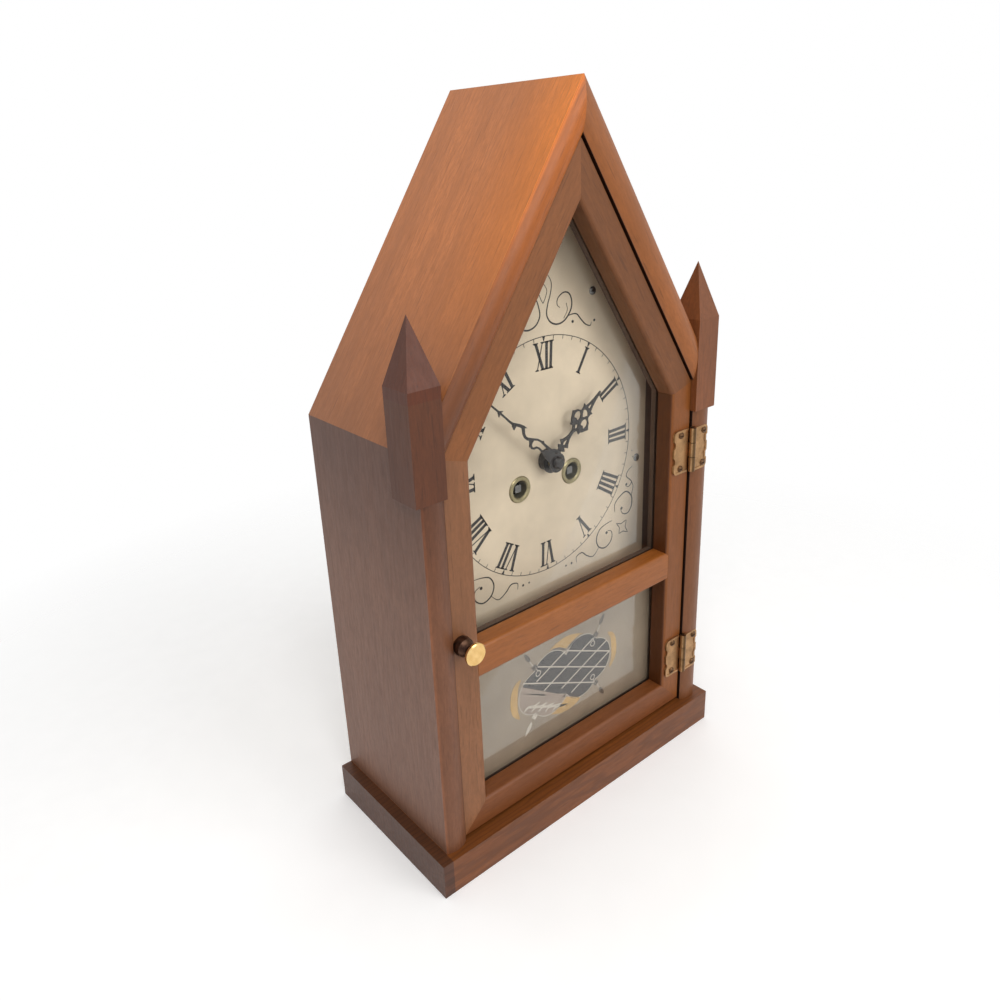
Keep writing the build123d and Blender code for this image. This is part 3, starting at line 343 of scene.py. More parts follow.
def fading_floor(name, near, far):
    """A pale floor that keeps the clock's shadow and fades into the white around it."""
    shader = Shader(name)
    grain = shader.noise(shader.mapped(), 60, 2.0)
    shader.set(Base_Color=shader.ramp(grain, (0.3, 0.95), (0.7, 0.97)), Roughness=0.95)
    shader.set(Emission_Color=(1, 1, 1, 1), Emission_Strength=0.13, Specular_IOR_Level=0.0)
    clear = shader.node("ShaderNodeBsdfTransparent")
    away = shader.node("ShaderNodeVectorMath", operation="LENGTH")
    shader.link(shader.mapped(), away.inputs[0])
    mixed = shader.node("ShaderNodeMixShader")
    shader.link(shader.spread(away.outputs["Value"], near, far, 0, 1), mixed.inputs[0])
    shader.link(shader.surface.outputs[0], mixed.inputs[1])
    shader.link(clear.outputs[0], mixed.inputs[2])
    shader.link(mixed.outputs[0], shader.out.inputs["Surface"])
    return shader.material


# Mesh tools

def as_piece(tool, name, body, material):
    """Makes one finished piece of a bmesh, with its faces outwards, and lets it ride on a body."""
    bmesh.ops.remove_doubles(tool, verts=tool.verts, dist=WELD_REACH)
    bmesh.ops.recalc_face_normals(tool, faces=tool.faces)
    data = bpy.data.meshes.new(name)
    tool.to_mesh(data)
    tool.free()
    piece = bpy.data.objects.new(name, data)
    bpy.context.scene.collection.objects.link(piece)
    data.materials.append(material)
    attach(piece, body)


def at_front(plane, centre_z):
    """Takes flat shapes drawn in X and Y, up to the clock's front: X stays, Y becomes Z, out is -Y."""
    return Matrix.Translation((0, plane, centre_z)) @ Matrix.Rotation(math.pi / 2, 4, "X")


def plate(tool, points, thick, place):
    """A flat plate of a closed outline in millimetres, with a thickness."""
    corners = [tool.verts.new((x * MM, y * MM, 0)) for x, y in points]
    face = tool.faces.new(corners)
    raised = bmesh.ops.extrude_face_region(tool, geom=[face])["geom"]
    moved = [item for item in raised if isinstance(item, bmesh.types.BMVert)]
    bmesh.ops.translate(tool, verts=moved, vec=(0, 0, thick))
    bmesh.ops.transform(tool, matrix=place, verts=list({*corners, *moved}))


def ring(tool, centre, outer, inner, thick, place, count):
    """A flat ring in millimetres, spun from its cross-section."""
    section = [tool.verts.new((x * MM, 0, z)) for x, z in
               ((inner, 0), (outer, 0), (outer, thick), (inner, thick))]
    before = set(tool.verts) - set(section)
    face = tool.faces.new(section)
    edges = list(face.edges)
    bmesh.ops.delete(tool, geom=[face], context="FACES_ONLY")
    bmesh.ops.spin(tool, geom=edges, cent=(0, 0, 0), axis=(0, 0, 1), angle=2 * math.pi, steps=count,
                   use_merge=True, use_duplicate=False)
    fresh = [vert for vert in tool.verts if vert not in before]
    bmesh.ops.translate(tool, verts=fresh, vec=(centre[0] * MM, centre[1] * MM, 0))
    bmesh.ops.transform(tool, matrix=place, verts=fresh)


def disc(tool, centre, radius, thick, place, count=24):
    """A small flat disc in millimetres."""
    made = bmesh.ops.create_cone(tool, cap_ends=True, segments=count, radius1=radius * MM,
                                 radius2=radius * MM, depth=thick)["verts"]
    bmesh.ops.translate(tool, verts=made, vec=(centre[0] * MM, centre[1] * MM, thick / 2))
    bmesh.ops.transform(tool, matrix=place, verts=made)


def smooth_line(points, steps=6, closed=False):
    """A smooth line through the points, as a list of closely set places."""
    count = len(points)
    if closed:
        knots = [points[-1], *points, points[0], points[1]]
    else:
        first = [2 * a - b for a, b in zip(points[0], points[1])]
        last = [2 * a - b for a, b in zip(points[-1], points[-2])]
        knots = [first, *points, last]
    spans = count if closed else count - 1
    line = []
    for index in range(spans):
        p0, p1, p2, p3 = knots[index:index + 4]
        for step in range(steps):
            t = step / steps
            line.append(tuple(
                0.5 * (2 * b + (c - a) * t + (2 * a - 5 * b + 4 * c - d) * t * t
                       + (3 * b - a - 3 * c + d) * t ** 3)
                for a, b, c, d in zip(p0, p1, p2, p3)))
    if not closed:
        line.append(tuple(points[-1]))
    return line


def stroke(tool, points, wide, thick, place, swell=None, closed=False, steps=6):
    """A pen stroke along a smooth line, as one flat ribbon with a thickness.

    Swell is the width of its ends, as a share of the middle's, and how quickly it widens.
    """
    line = smooth_line(points, steps, closed)
    count = len(line)
    lower, upper = [], []
    for index, (x, y) in enumerate(line):
        ahead = line[(index + 1) % count] if closed or index < count - 1 else line[index]
        behind = line[index - 1] if closed or index > 0 else line[index]
        dx, dy = ahead[0] - behind[0], ahead[1] - behind[1]
        length = math.hypot(dx, dy) or 1.0
        share = index / max(1, count - 1)
        half = 0.5 * wide
        if swell:
            least, shape = swell
            half *= least + (1 - least) * math.sin(math.pi * share) ** shape
        across = (-dy / length * half, dx / length * half)
        lower.append(tool.verts.new(((x - across[0]) * MM, (y - across[1]) * MM, 0)))
        upper.append(tool.verts.new(((x + across[0]) * MM, (y + across[1]) * MM, 0)))
    edges_low = [tool.edges.new(pair) for pair in zip(lower, lower[1:])]
    edges_high = [tool.edges.new(pair) for pair in zip(upper, upper[1:])]
    if closed:
        edges_low.append(tool.edges.new((lower[-1], lower[0])))
        edges_high.append(tool.edges.new((upper[-1], upper[0])))
    faces = bmesh.ops.bridge_loops(tool, edges=edges_low + edges_high)["faces"]
    raised = bmesh.ops.extrude_face_region(tool, geom=faces)["geom"]
    moved = [item for item in raised if isinstance(item, bmesh.types.BMVert)]
    bmesh.ops.translate(tool, verts=moved, vec=(0, 0, thick))
    bmesh.ops.transform(tool, matrix=place, verts=lower + upper + moved)


def mirrored(points):
    """The same outline on the dial's other side."""
    return [(-x, y) for x, y in points]


# Numerals and ornaments of the dial, in millimetres from its middle

LETTER_WIDTHS = {"I": 2.9, "V": 6.4, "X": 6.4}
HOURS = ("XII", "I", "II", "III", "IIII", "V", "VI", "VII", "VIII", "IX", "X", "XI")
FOOT_SPREAD, HEAD_SPREAD = 0.93, 1.10
BROAD_SERIF, THIN_SERIF, SERIF_HEIGHT = 1.75, 1.25, 0.9


def numeral_bars(text):
    """The strokes of one Roman numeral, each with its foot, its head and its width along the ring."""
    left = -sum(LETTER_WIDTHS[letter] for letter in text) / 2
    bars = []
    for letter in text:
        middle = left + LETTER_WIDTHS[letter] / 2
        if letter == "I":
            bars.append((middle, middle, 1.75))
        elif letter == "V":
            bars.append((middle + 0.1, middle - 2.1, 1.85))
            bars.append((middle + 0.1, middle + 2.2, 0.6))
        else:
            bars.append((middle + 2.1, middle - 2.1, 1.85))
            bars.append((middle - 2.1, middle + 2.1, 0.6))
        left += LETTER_WIDTHS[letter]
    return bars


def numeral(tool, text, hour, inner, outer, thick, place):
    """One numeral with its feet to the dial's middle and a serif at both ends of each stroke."""
    turn = place @ Matrix.Rotation(-math.radians(hour * 30), 4, "Z")
    for foot, head, wide in numeral_bars(text):
        low, high, half = foot * FOOT_SPREAD, head * HEAD_SPREAD, wide / 2
        plate(tool, [(low - half, inner), (low + half, inner), (high + half, outer), (high - half, outer)],
              thick, turn)
        reach = BROAD_SERIF if wide > 1 else THIN_SERIF
        for level, middle, inward, order in ((inner, low, SERIF_HEIGHT, 1), (outer, high, -SERIF_HEIGHT, -1)):
            neck = level + inward * 0.45
            serif = [(middle - reach, level), (middle + reach, level), (middle + reach, neck),
                     (middle + half, level + inward), (middle - half, level + inward), (middle - reach, neck)]
            plate(tool, serif[::order], thick, turn)


TOP_SCROLL = [(2.5, 94.2), (5.6, 89.3), (5, 84), (3.1, 79), (2.3, 74), (5, 69.9), (10, 68.3), (15, 69.9),
              (18.8, 74.3), (19.4, 78.6), (17.5, 82.4), (13.8, 83.3), (10, 81.1), (9.4, 78), (11.3, 76.1)]
TOP_LINE = [(13.8, 70.5), (16.3, 74.3), (15.6, 78)]
TOP_TRAIL = [(15, 69.9), (17.5, 71.5), (22.5, 71.5), (25.6, 68.6), (28.8, 65.5), (32.5, 64), (33.5, 65.8)]
TOP_LEAF = [(0, 79.8), (1.6, 82.4), (2.6, 85.9), (0.2, 89.6)]
LOW_TENDRIL = [(67.5, -22.6), (63.8, -24.5), (62.5, -27.6), (66.9, -32), (64.4, -34.5), (61.9, -33.3)]
LOW_SCROLL = [(53.1, -47), (53.1, -42), (57.5, -38.3), (62.5, -37), (66.9, -40.8), (67.5, -46.4),
              (64.4, -50.8), (60, -50.1), (58.1, -47)]
LOW_LINK = [(66.9, -32), (68.4, -35.5), (66.9, -40.8)]
LOW_DIAMOND = [(54.4, -54.5), (58.5, -56.2), (63.1, -55.1), (62.2, -59.2), (64.4, -63.3), (60.4, -61.4),
               (56.9, -62), (57.3, -58.2)]
LOW_SECOND = [(50.9, -51.6), (45.5, -52.2), (40.4, -54.2), (38.0, -59.5), (40.2, -64.8), (45.6, -66.8),
              (50.4, -63.6), (50.6, -58.6), (47.2, -56.6)]
LOW_TRAIL = [(40.2, -64.8), (35.4, -68.8), (30.2, -66.6), (26.4, -63.4), (22, -64.4), (22, -68)]

# Each pen stroke of the dial's ornament with its width and its swell

PEN_STROKES = (
    (TOP_SCROLL, 0.85, (0.3, 0.8)), (TOP_LINE, 0.35, None), (TOP_TRAIL, 0.7, (0.35, 1)),
    (TOP_LEAF, 0.35, None), (LOW_TENDRIL, 0.6, (0.4, 1)), (LOW_SCROLL, 0.85, (0.35, 0.8)),
    (LOW_LINK, 0.4, None), (LOW_SECOND, 0.8, (0.35, 0.8)), (LOW_TRAIL, 0.7, (0.35, 1)))
PEN_DOTS = (((20, 68), 0.8), ((35.6, 66.3), 0.7), ((62.6, -32.6), 0.8), ((58.8, -46.4), 0.9),
            ((46.4, -57.8), 0.9), ((18.1, -67), 0.7), ((13.8, -67), 0.55), ((66.8, -13), 0.35),
            ((67.5, -17), 0.35))


# Ornaments of the tablet, in millimetres from its window's middle

LOBES = ((12, 7), (-12, 7), (12, -6), (-12, -6), (22, 0), (-22, 0))
LOBE_RADIUS = 13.5
COAT_MARGIN = 0.4
SHEEN_TOP, SHEEN_FALL, SHEEN_RIGHT = -12.18, -0.66, 8.5
CORNERS = ((-1, 1), (1, 1), (1, -1))
LATTICE = (((-22.5, 6.6), (-0.6, 16.2)), ((-17.2, -1.8), (21.2, 14.6)), ((-3.8, -6.8), (32.4, 8.4)),
           ((3.6, -13.3), (35.2, 0.2)), ((0.4, 15.9), (35.2, 0.0)), ((-21.2, 15.6), (31.6, -9.2)),
           ((-32.2, 10.2), (22.4, -15.4)))


def lobed_outline(count=180):
    """The tablet's window: the outer edge of six overlapping circles, seen from the middle."""
    points = []
    for index in range(count):
        angle = 2 * math.pi * index / count
        dx, dy = math.cos(angle), math.sin(angle)
        reach = 0.0
        for cx, cy in LOBES:
            along = cx * dx + cy * dy
            across = cx * cx + cy * cy - along * along
            if across < LOBE_RADIUS ** 2:
                reach = max(reach, along + math.sqrt(LOBE_RADIUS ** 2 - across))
        points.append((reach * dx, reach * dy))
    return points


# Settings

class ClockSettings(bpy.types.PropertyGroup):
    """Sizes and colours that a user may change."""

    roof_wood: FloatVectorProperty(
        name="Roof wood", description="Colour of the lacquered roof boards", subtype="COLOR", size=4,
        min=0, max=1, default=linear(196, 118, 62))
    case_wood: FloatVectorProperty(
        name="Case wood", description="Colour of the side and front of the case", subtype="COLOR", size=4,
        min=0, max=1, default=linear(134, 94, 74))
    base_wood: FloatVectorProperty(
        name="Base wood", description="Colour of the base board", subtype="COLOR", size=4,
        min=0, max=1, default=linear(126, 71, 32))
    door_wood: FloatVectorProperty(
        name="Door wood", description="Colour of the door frame", subtype="COLOR", size=4,
        min=0, max=1, default=linear(141, 92, 58))
    finial_wood: FloatVectorProperty(
        name="Finial wood", description="Colour of the corner finials", subtype="COLOR", size=4,
        min=0, max=1, default=linear(106, 64, 42))
    dial_paint: FloatVectorProperty(
        name="Dial paint", description="Colour of the painted dial", subtype="COLOR", size=4,
        min=0, max=1, default=linear(226, 207, 181))
    ink: FloatVectorProperty(
        name="Ink", description="Colour of numerals, rings and hands", subtype="COLOR", size=4,
        min=0, max=1, default=linear(42, 36, 34))
    gold: FloatVectorProperty(
        name="Gold", description="Colour of the gold paint on the tablet", subtype="COLOR", size=4,
        min=0, max=1, default=linear(190, 150, 84))
    tablet_paint: FloatVectorProperty(
        name="Tablet ground", description="Colour of the painted ground of the tablet", subtype="COLOR",
        size=4, min=0, max=1, default=linear(148, 132, 113))
    ring_radius: FloatProperty(
        name="Ring radius", description="Radius of the dial's outer line", default=0.0638, min=0.04,
        max=0.0675, unit="LENGTH")
    numeral_inner: FloatProperty(
        name="Numeral foot", description="Radius at the feet of the numerals", default=0.0470, min=0.02,
        max=0.055, unit="LENGTH")
    numeral_outer: FloatProperty(
        name="Numeral head", description="Radius at the heads of the numerals", default=0.0612, min=0.056,
        max=0.0625, unit="LENGTH")
    print_thickness: FloatProperty(
        name="Print thickness", description="Thickness of the ink on the dial", default=0.00006,
        min=0.00002, max=0.0003, unit="LENGTH")


# Operators

def paint(names, material):
    """Gives CAD nodes a material in place of their plain one."""
    for name in names:
        slots = nodes[name].material_slots
        if not slots:
            nodes[name].data.materials.append(material)
            continue
        for slot in slots:
            slot.link = "OBJECT"
            slot.material = material


# The boards' edges in metres, and the painted shade inside the case as a colour to multiply by

CROWN_DEPTH, CROWN_LEAN = 0.0014, 0.063
GLASS_REBATE = 0.0042
SPIRE_HEIGHT = 0.0345
PAINTED_SHADE_INSIDE = (0.06, 0.045, 0.035)


class CLOCK_OT_woodwork(bpy.types.Operator):
    """Finishes the case, the finials and the door's frame in lacquered wood"""

    bl_idname = "clock.woodwork"
    bl_label = "Woodwork"

    def execute(self, context):
        look = context.scene.clock_settings
        roof, case, base, door, finial = (
            tuple(colour) for colour in
            (look.roof_wood, look.case_wood, look.base_wood, look.door_wood, look.finial_wood))
        side_low, side_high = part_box("right_side_board")
        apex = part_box("left_roof_board")[1].z
        half = side_high.x
        wall = half - side_low.x
        rise = math.atan2(apex - side_high.z, half)
        up, flat, left_slope, right_slope = (0, -math.pi / 2, 0), (0, 0, 0), (0, -rise, 0), (0, rise, 0)
        top = apex * math.cos(rise)
        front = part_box("left_roof_board")[0].y + CROWN_DEPTH
        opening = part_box("upper_glass")[1].x - GLASS_REBATE
        base_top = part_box("base_board")[1].z
        spire_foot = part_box("left_finial")[1].z - SPIRE_HEIGHT
        back = ((0, 1, 0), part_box("door_left_stile")[1].y, 0.003)

        def inside(outer, side=1):
            """The zone of a board's inner face, on the side of it where the case is hollow and its painted
            shade lies.
            """
            return (0, 0, side), outer - wall + 0.0002, 0.0002

        def crown(outer):
            """The zone of a board's rounded front edge."""
            return (0, 1, CROWN_LEAN), front + CROWN_LEAN * outer + 0.0002, 0.0002

        def worn_highlit_arris(outer):
            """The zone of a board's worn outer front edge, which a painted highlight lightens."""
            return (0, 1, -1), front - outer + 0.0007, 0.0004

        boards = {
            "left_roof_board": wood("roof_left", roof, left_slope, 0.31, 1.1, 0.42, 0.2, stains_and_painted_light=(
                (PAINTED_SHADE_INSIDE, inside(top), back),
                # Painted shade: the left roof board darker towards its lower end
                ((0.60, 0.66, 0.84), ((1, 0, 0), 0.235, 0.12)),
                # Painted light: brighter and golden near the front, towards the apex
                ((1.36, 1.20, 0.52), ((0, 1, 0), -0.004, 0.034), ((-1, 0, 0), -0.17, 0.11)),
                ((0.68, 0.60, 0.38), crown(top)),
                # Painted shade on the rounded front edge, towards its lower end
                ((0.60, 0.54, 0.50), crown(top), ((1, 0, 0), 0.25, 0.10)),
                # The worn outer front edge, lightened towards the apex by a painted highlight
                ((1.5, 1.45, 1.3), worn_highlit_arris(top), ((-1, 0, 0), -0.20, 0.06)))),
            # The right roof board takes a darker copy of the roof wood: painted shade on the slope turned
            # from the light
            "right_roof_board": wood(
                "roof_right", tinted(roof, 0.64, (1, 0.97, 0.84)), right_slope, 1.7, 1.1, 0.42, 0.2,
                stains_and_painted_light=((PAINTED_SHADE_INSIDE, inside(top), back),)),
            "left_side_board": wood("side_left", case, up, 2.3, 0.7, stains_and_painted_light=(
                (PAINTED_SHADE_INSIDE, inside(half), back),
                # Painted shade: the side board darker towards its top
                ((0.58, 0.50, 0.47), ((-1, 0, 0), -0.15, 0.07)),
                ((0.80, 0.64, 0.46), crown(half)),
                # The worn outer front edge, lightened by a painted highlight
                ((1.35, 1.3, 1.25), worn_highlit_arris(half)))),
            # The right side board takes a darker, warmer copy of the case wood: painted shade
            "right_side_board": wood(
                "side_right", tinted(case, 0.88, (1.0, 0.74, 0.38)), up, 3.9, 0.8,
                stains_and_painted_light=((PAINTED_SHADE_INSIDE, inside(half, -1), back),)),
            "base_board": wood("base_wood", base, flat, 0.77, 1.2, 0.44, waves=0.65, stains_and_painted_light=(
                ((0.46, 0.48, 0.74), ((1, 0, 0), -half - 0.0001, 0.0003)),
                ((1.0, 0.98, 0.74), ((0, 0, -1), -base_top + 0.0003, 0.0003)))),
            # The finials are a shaded and a lit copy of one finial wood: painted shade on the left one,
            # painted light on the right one
            "left_finial": wood("finial_left", tinted(finial, 0.78, (1, 0.77, 0.46)), up, 5.1, stains_and_painted_light=(
                ((0.96, 0.74, 0.50), ((-1, 0, 0), -spire_foot, 0.0004)),)),
            "right_finial": wood("finial_right", tinted(finial, 1.5, (1, 0.90, 0.60)), up, 6.4),
            "door_left_stile": wood("stile_left", door, up, 7.2, 0.9),
            # The door's members are lit and shaded copies of the door wood: painted light on the mid rail,
            # painted shade on the right stile, the bottom rail and the right rafter
            "door_right_stile": wood("stile_right", tinted(door, 0.95, (1.0, 0.74, 0.26)), up, 8.8, stains_and_painted_light=(
                # Painted shade on the right stile's inner face, beside the opening
                ((0.40, 0.36, 0.33), ((0, 0, -1), opening, 0.0004)),)),
            "door_bottom_rail": wood("rail_bottom", tinted(door, 0.82, (1, 0.75, 0.44)), flat, 9.4),
            "door_mid_rail": wood(
                "rail_middle", tinted(door, 1.28, (1, 0.75, 0.28)), flat, 10.9, 0.7, 0.42, 0.2),
            "door_left_rafter": wood(
                "rafter_left", tinted(door, 0.98, (1, 0.84, 0.56)), left_slope, 11.6, 0.9),
            "door_right_rafter": wood(
                "rafter_right", tinted(door, 0.70, (1, 0.82, 0.48)), right_slope, 12.5)}
        for board, finish in boards.items():
            paint([board], finish)
        bare = linear(150, 120, 88)
        paint(["back_panel"], wood("back_wood", bare, up, 13.3, 0.6, 0.7, plain=True))
        # The inner pieces take a darker, greyer copy of the bare wood: painted shade inside the case
        paint(["door_stop", "dial_cleats", "upper_glass_beads", "lower_glass_beads"],
              wood("inner_wood", linear(104, 84, 72), up, 14.2, 0.7, 0.6, plain=True))
        return {"FINISHED"}


class CLOCK_OT_metalwork(bpy.types.Operator):
    """Finishes the movement, hinges, knob, screws, hands and gong"""

    bl_idname = "clock.metalwork"
    bl_label = "Metalwork"

    def execute(self, context):
        look = context.scene.clock_settings
        bright = aged_metal("bright_brass", linear(226, 190, 122), 0.16, 0.14)
        steel = aged_metal("steel", linear(120, 118, 116), 0.32, 0.3)
        iron = aged_metal("iron", linear(70, 68, 68), 0.45, 0.4, 0.8)
        black = painted("hand_black", tuple(look.ink), 0.34, 0.22, 160)
        joint = 0.5 * (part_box("hinge_pins")[0].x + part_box("hinge_pins")[1].x)
        # The hinge leaves darken along the knuckle: painted shade in the joint
        paint(["hinge_case_leaves", "hinge_door_leaves"], aged_metal(
            "hinge_brass", linear(182, 142, 100), 0.32, 0.6, shade_line=(joint - 0.0004, 0.0012)))
        paint(["hinge_pins", "hinge_case_screws", "hinge_door_screws"],
              aged_metal("hinge_screw_brass", linear(104, 78, 56), 0.28, 0.5))
        paint(["front_movement_plate", "back_movement_plate", "strike_barrel", "time_barrel",
               "minute_wheel", "hour_wheel", "pendulum_bob", "suspension_cock",
               "rating_nut"], bright)
        paint(["winding_grommets"], aged_metal("dull_brass", linear(158, 146, 112), 0.36, 0.4, 0.85))
        paint(["centre_arbor", "strike_winding_arbor", "time_winding_arbor", "minute_wheel_stud",
               "movement_posts", "movement_pillars", "post_screws", "pillar_screws", "dial_screws",
               "base_screws", "back_panel_screws", "knob_screw", "catch_plate", "suspension_spring",
               "catch_magnet"], steel)
        paint(["pendulum_rod", "gong_block", "gong_rods", "strike_hammer"], iron)
        paint(["hour_hand", "minute_hand", "hand_nut"], black)
        paint(["door_knob"], dark_necked_knob("knob_brass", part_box("door_knob")[0].y + KNOB_FACE))
        return {"FINISHED"}


class CLOCK_OT_glazing(bpy.types.Operator):
    """Finishes the two panes, the dial plate and its board"""

    bl_idname = "clock.glazing"
    bl_label = "Glazing and dial"

    def execute(self, context):
        look = context.scene.clock_settings
        paint(["upper_glass", "lower_glass"], clear_glass("window_glass"))
        paint(["dial_plate"], painted("dial_cream", tuple(look.dial_paint), 0.46, 0.15, 30))
        paint(["dial_board"], painted("dial_board_grey", linear(112, 98, 90), 0.6, 0.2, 30))
        return {"FINISHED"}


class CLOCK_OT_dial_print(bpy.types.Operator):
    """Prints the numerals, the ring and its marks, and the scrolls on the dial"""

    bl_idname = "clock.dial_print"
    bl_label = "Dial print"

    def execute(self, context):
        look = context.scene.clock_settings
        ink = painted("printed_ink", tuple(look.ink), 0.42, 0.2, 120)
        place = at_front(DIAL_FACE - PRINT_LIFT, DIAL_Z)
        thick = look.print_thickness
        inner, outer = look.numeral_inner / MM, look.numeral_outer / MM
        edge = look.ring_radius / MM

        tool = bmesh.new()
        for hour, text in enumerate(HOURS):
            numeral(tool, text, hour, inner, outer, thick, place)
        as_piece(tool, "dial_numerals", "case", ink)

        tool = bmesh.new()
        ring(tool, (0, 0), edge + 0.19, edge - 0.19, thick, place, 144)
        for minute in range(60):
            turn = place @ Matrix.Rotation(math.radians(-6 * minute), 4, "Z")
            long, foot, head = (2.0, 0.16, 0.16) if minute % 5 else (2.4, 0.2, 0.95)
            plate(tool, [(-foot, edge - long), (foot, edge - long), (head, edge), (-head, edge)], thick, turn)
        as_piece(tool, "dial_minute_ring", "case", ink)

        tool = bmesh.new()
        for side in (lambda points: points, mirrored):
            for points, wide, swell in PEN_STROKES:
                stroke(tool, side(points), wide, thick, place, swell)
            stroke(tool, side(LOW_DIAMOND), 0.5, thick, place, closed=True, steps=2)
            for spot, radius in PEN_DOTS:
                disc(tool, side([spot])[0], radius, thick, place)
        as_piece(tool, "dial_scrolls", "case", ink)

        tool = bmesh.new()
        front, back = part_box("hour_hand")[1].y + 0.0002, DIAL_FACE - 0.0006
        made = bmesh.ops.create_cone(tool, cap_ends=True, segments=40, radius1=BUSH_RADIUS,
                                     radius2=BUSH_RADIUS * 0.9, depth=max(0.0004, back - front))["verts"]
        middle = Matrix.Translation((0, (front + back) / 2, DIAL_Z))
        bmesh.ops.transform(tool, verts=made, matrix=middle @ Matrix.Rotation(math.pi / 2, 4, "X"))
        black = painted("bush_black", tuple(look.ink), 0.4)
        as_piece(tool, "hour_hand_bush", "hour_work", black)
        return {"FINISHED"}


class CLOCK_OT_tablet(bpy.types.Operator):
    """Paints the lower pane: a grey ground with a lobed window of painted shade, a painted sheen and
    reflection, gold crescents, white lattice lines
    """

    bl_idname = "clock.tablet"
    bl_label = "Painted tablet"

    def execute(self, context):
        look = context.scene.clock_settings
        thick = PAINT_THICKNESS
        ground, window_shade_coat, sheen_coat, marks, above = (
            at_front(TABLET_HIGH.y + depth, TABLET_Z) for depth in COAT_DEPTHS)
        left, right = TABLET_LOW.x / MM + COAT_MARGIN, TABLET_HIGH.x / MM - COAT_MARGIN
        bottom = (TABLET_LOW.z - TABLET_Z) / MM + COAT_MARGIN
        top = (TABLET_HIGH.z - TABLET_Z) / MM - COAT_MARGIN

        tool = bmesh.new()
        plate(tool, [(left, bottom), (right, bottom), (right, top), (left, top)], thick, ground)
        as_piece(tool, "tablet_ground", "door",
                 painted("tablet_ground", tuple(look.tablet_paint), 0.5, 0.22, 34))

        window = lobed_outline()
        # The lobed window is a dark coat: painted shade for the dim inside seen through clear glass
        tool = bmesh.new()
        plate(tool, window, thick, window_shade_coat)
        as_piece(tool, "tablet_window_shade", "door",
                 painted("tablet_window_shade", linear(26, 17, 13), 0.4, 0.16, 30))

        tool = bmesh.new()
        sheen = [(x, y) for x, y in window if y < SHEEN_TOP + SHEEN_FALL * x and x < SHEEN_RIGHT]
        plate(tool, sheen, thick, sheen_coat)
        as_piece(tool, "tablet_sheen", "door",
                 painted("tablet_sheen", linear(150, 132, 118), 0.4, 0.16, 60))

        light = painted("tablet_light", linear(198, 188, 174), 0.5, 0.1)
        tool = bmesh.new()
        stroke(tool, window, 0.35, thick, marks, closed=True, steps=1)
        for side, up in CORNERS:
            ring(tool, (side * 21, up * 11.3), 1.9, 1.4, thick, marks, 32)
            stroke(tool, [(side * 21.6, up * 13.2), (side * 22.3, up * 15), (side * 23.6, up * 17)],
                   0.5, thick, marks)
            stroke(tool, [(side * 24.6, up * 17.4), (side * 26, up * 20), (side * 27.2, up * 21.6)],
                   0.4, thick, marks)
        for start, end in LATTICE:
            middle = ((start[0] + end[0]) / 2, (start[1] + end[1]) / 2)
            stroke(tool, [start, middle, end], 0.75, thick, above, steps=1)
        # Five pale streaks across the sheen: a painted reflection
        for offset in range(5):
            x, y = -29 + 5.2 * offset, -8.0 - 2.5 * offset
            stroke(tool, [(x - 3.0, y - 0.4), (x, y + 1.2), (x + 4.4, y - 0.2),
                          (x + 9.0, y + 0.6 - 0.5 * offset)], 1.5, thick, marks, (0.2, 0.7))
        # The lower-left diamond and spear in pale paint: a painted highlight where the gold catches the light
        plate(tool, [(-26.8, -14.6), (-24.2, -17.2), (-21.6, -14.8), (-24.0, -12.4)], thick, marks)
        stroke(tool, [(-26.4, -17.4), (-28.6, -20.4), (-31.6, -24.6)], 2.6, thick, marks, (0.1, 0.8))
        as_piece(tool, "tablet_lines", "door", light)

        dark = painted("tablet_dark", linear(84, 72, 62), 0.4, 0.2)
        tool = bmesh.new()
        for side, up in CORNERS:
            x, y = side * 23.6, up * 16.2
            plate(tool, [(x - 2.5, y + 0.6), (x - 0.4, y - 2.1), (x + 2.5, y - 0.6), (x + 0.4, y + 2.1)],
                  thick, marks)
            stroke(tool, [(side * 26.6, up * 21.0), (side * 28.4, up * 24), (side * 30.4, up * 27.2)], 2.7,
                   thick, marks, (0.1, 0.8))
        stroke(tool, [(-10.5, 21.4), (-5, 19.8), (0, 16.6)], 1.4, thick, marks, (0.2, 0.8))
        stroke(tool, [(1.2, 16.9), (5, 18.9), (9, 20.8)], 1.1, thick, marks, (0.2, 0.8))
        as_piece(tool, "tablet_dark_marks", "door", dark)

        gold = painted("tablet_gold", tuple(look.gold), 0.38, 0.24, 90)
        tool = bmesh.new()
        for side, reach in ((-1, 1.0), (1, 0.86)):
            stroke(tool, [(side * 33.6, 13.4), (side * 37.4, 9.2), (side * 38.8, 1.5), (side * 38.2, -5.6),
                          (side * 35.2, -11.2)], 5.0 * reach, thick, marks, (0.08, 0.7))
        plate(tool, [(-13.5, 21.4), (-10, 21.9), (-5, 20.6), (0, 17.6), (5, 20.3), (10, 21.9), (13, 21.6),
                     (8, 23.6), (3.4, 24.8), (0, 25.1), (-3.4, 24.8), (-8, 23.7)][::-1], thick, marks)
        plate(tool, [(-12, -20.1), (-6, -18.2), (0, -14.2), (5, -16.8), (11, -20.0), (8, -22.3), (2, -23.6),
                     (-5, -23.0)][::-1], thick, marks)
        as_piece(tool, "tablet_gold_marks", "door", gold)
        return {"FINISHED"}


def lay_floor(scene):
    """A plain pale floor under the clock."""
    tool = bmesh.new()
    bmesh.ops.create_grid(tool, x_segments=1, y_segments=1, size=3.0)
    data = bpy.data.meshes.new("floor")
    tool.to_mesh(data)
    tool.free()
    data.materials.append(fading_floor("floor_paint", 0.20, 0.52))
    floor = bpy.data.objects.new("floor", data)
    floor.location = (0, 0, -FLOOR_DROP)
    scene.collection.objects.link(floor)


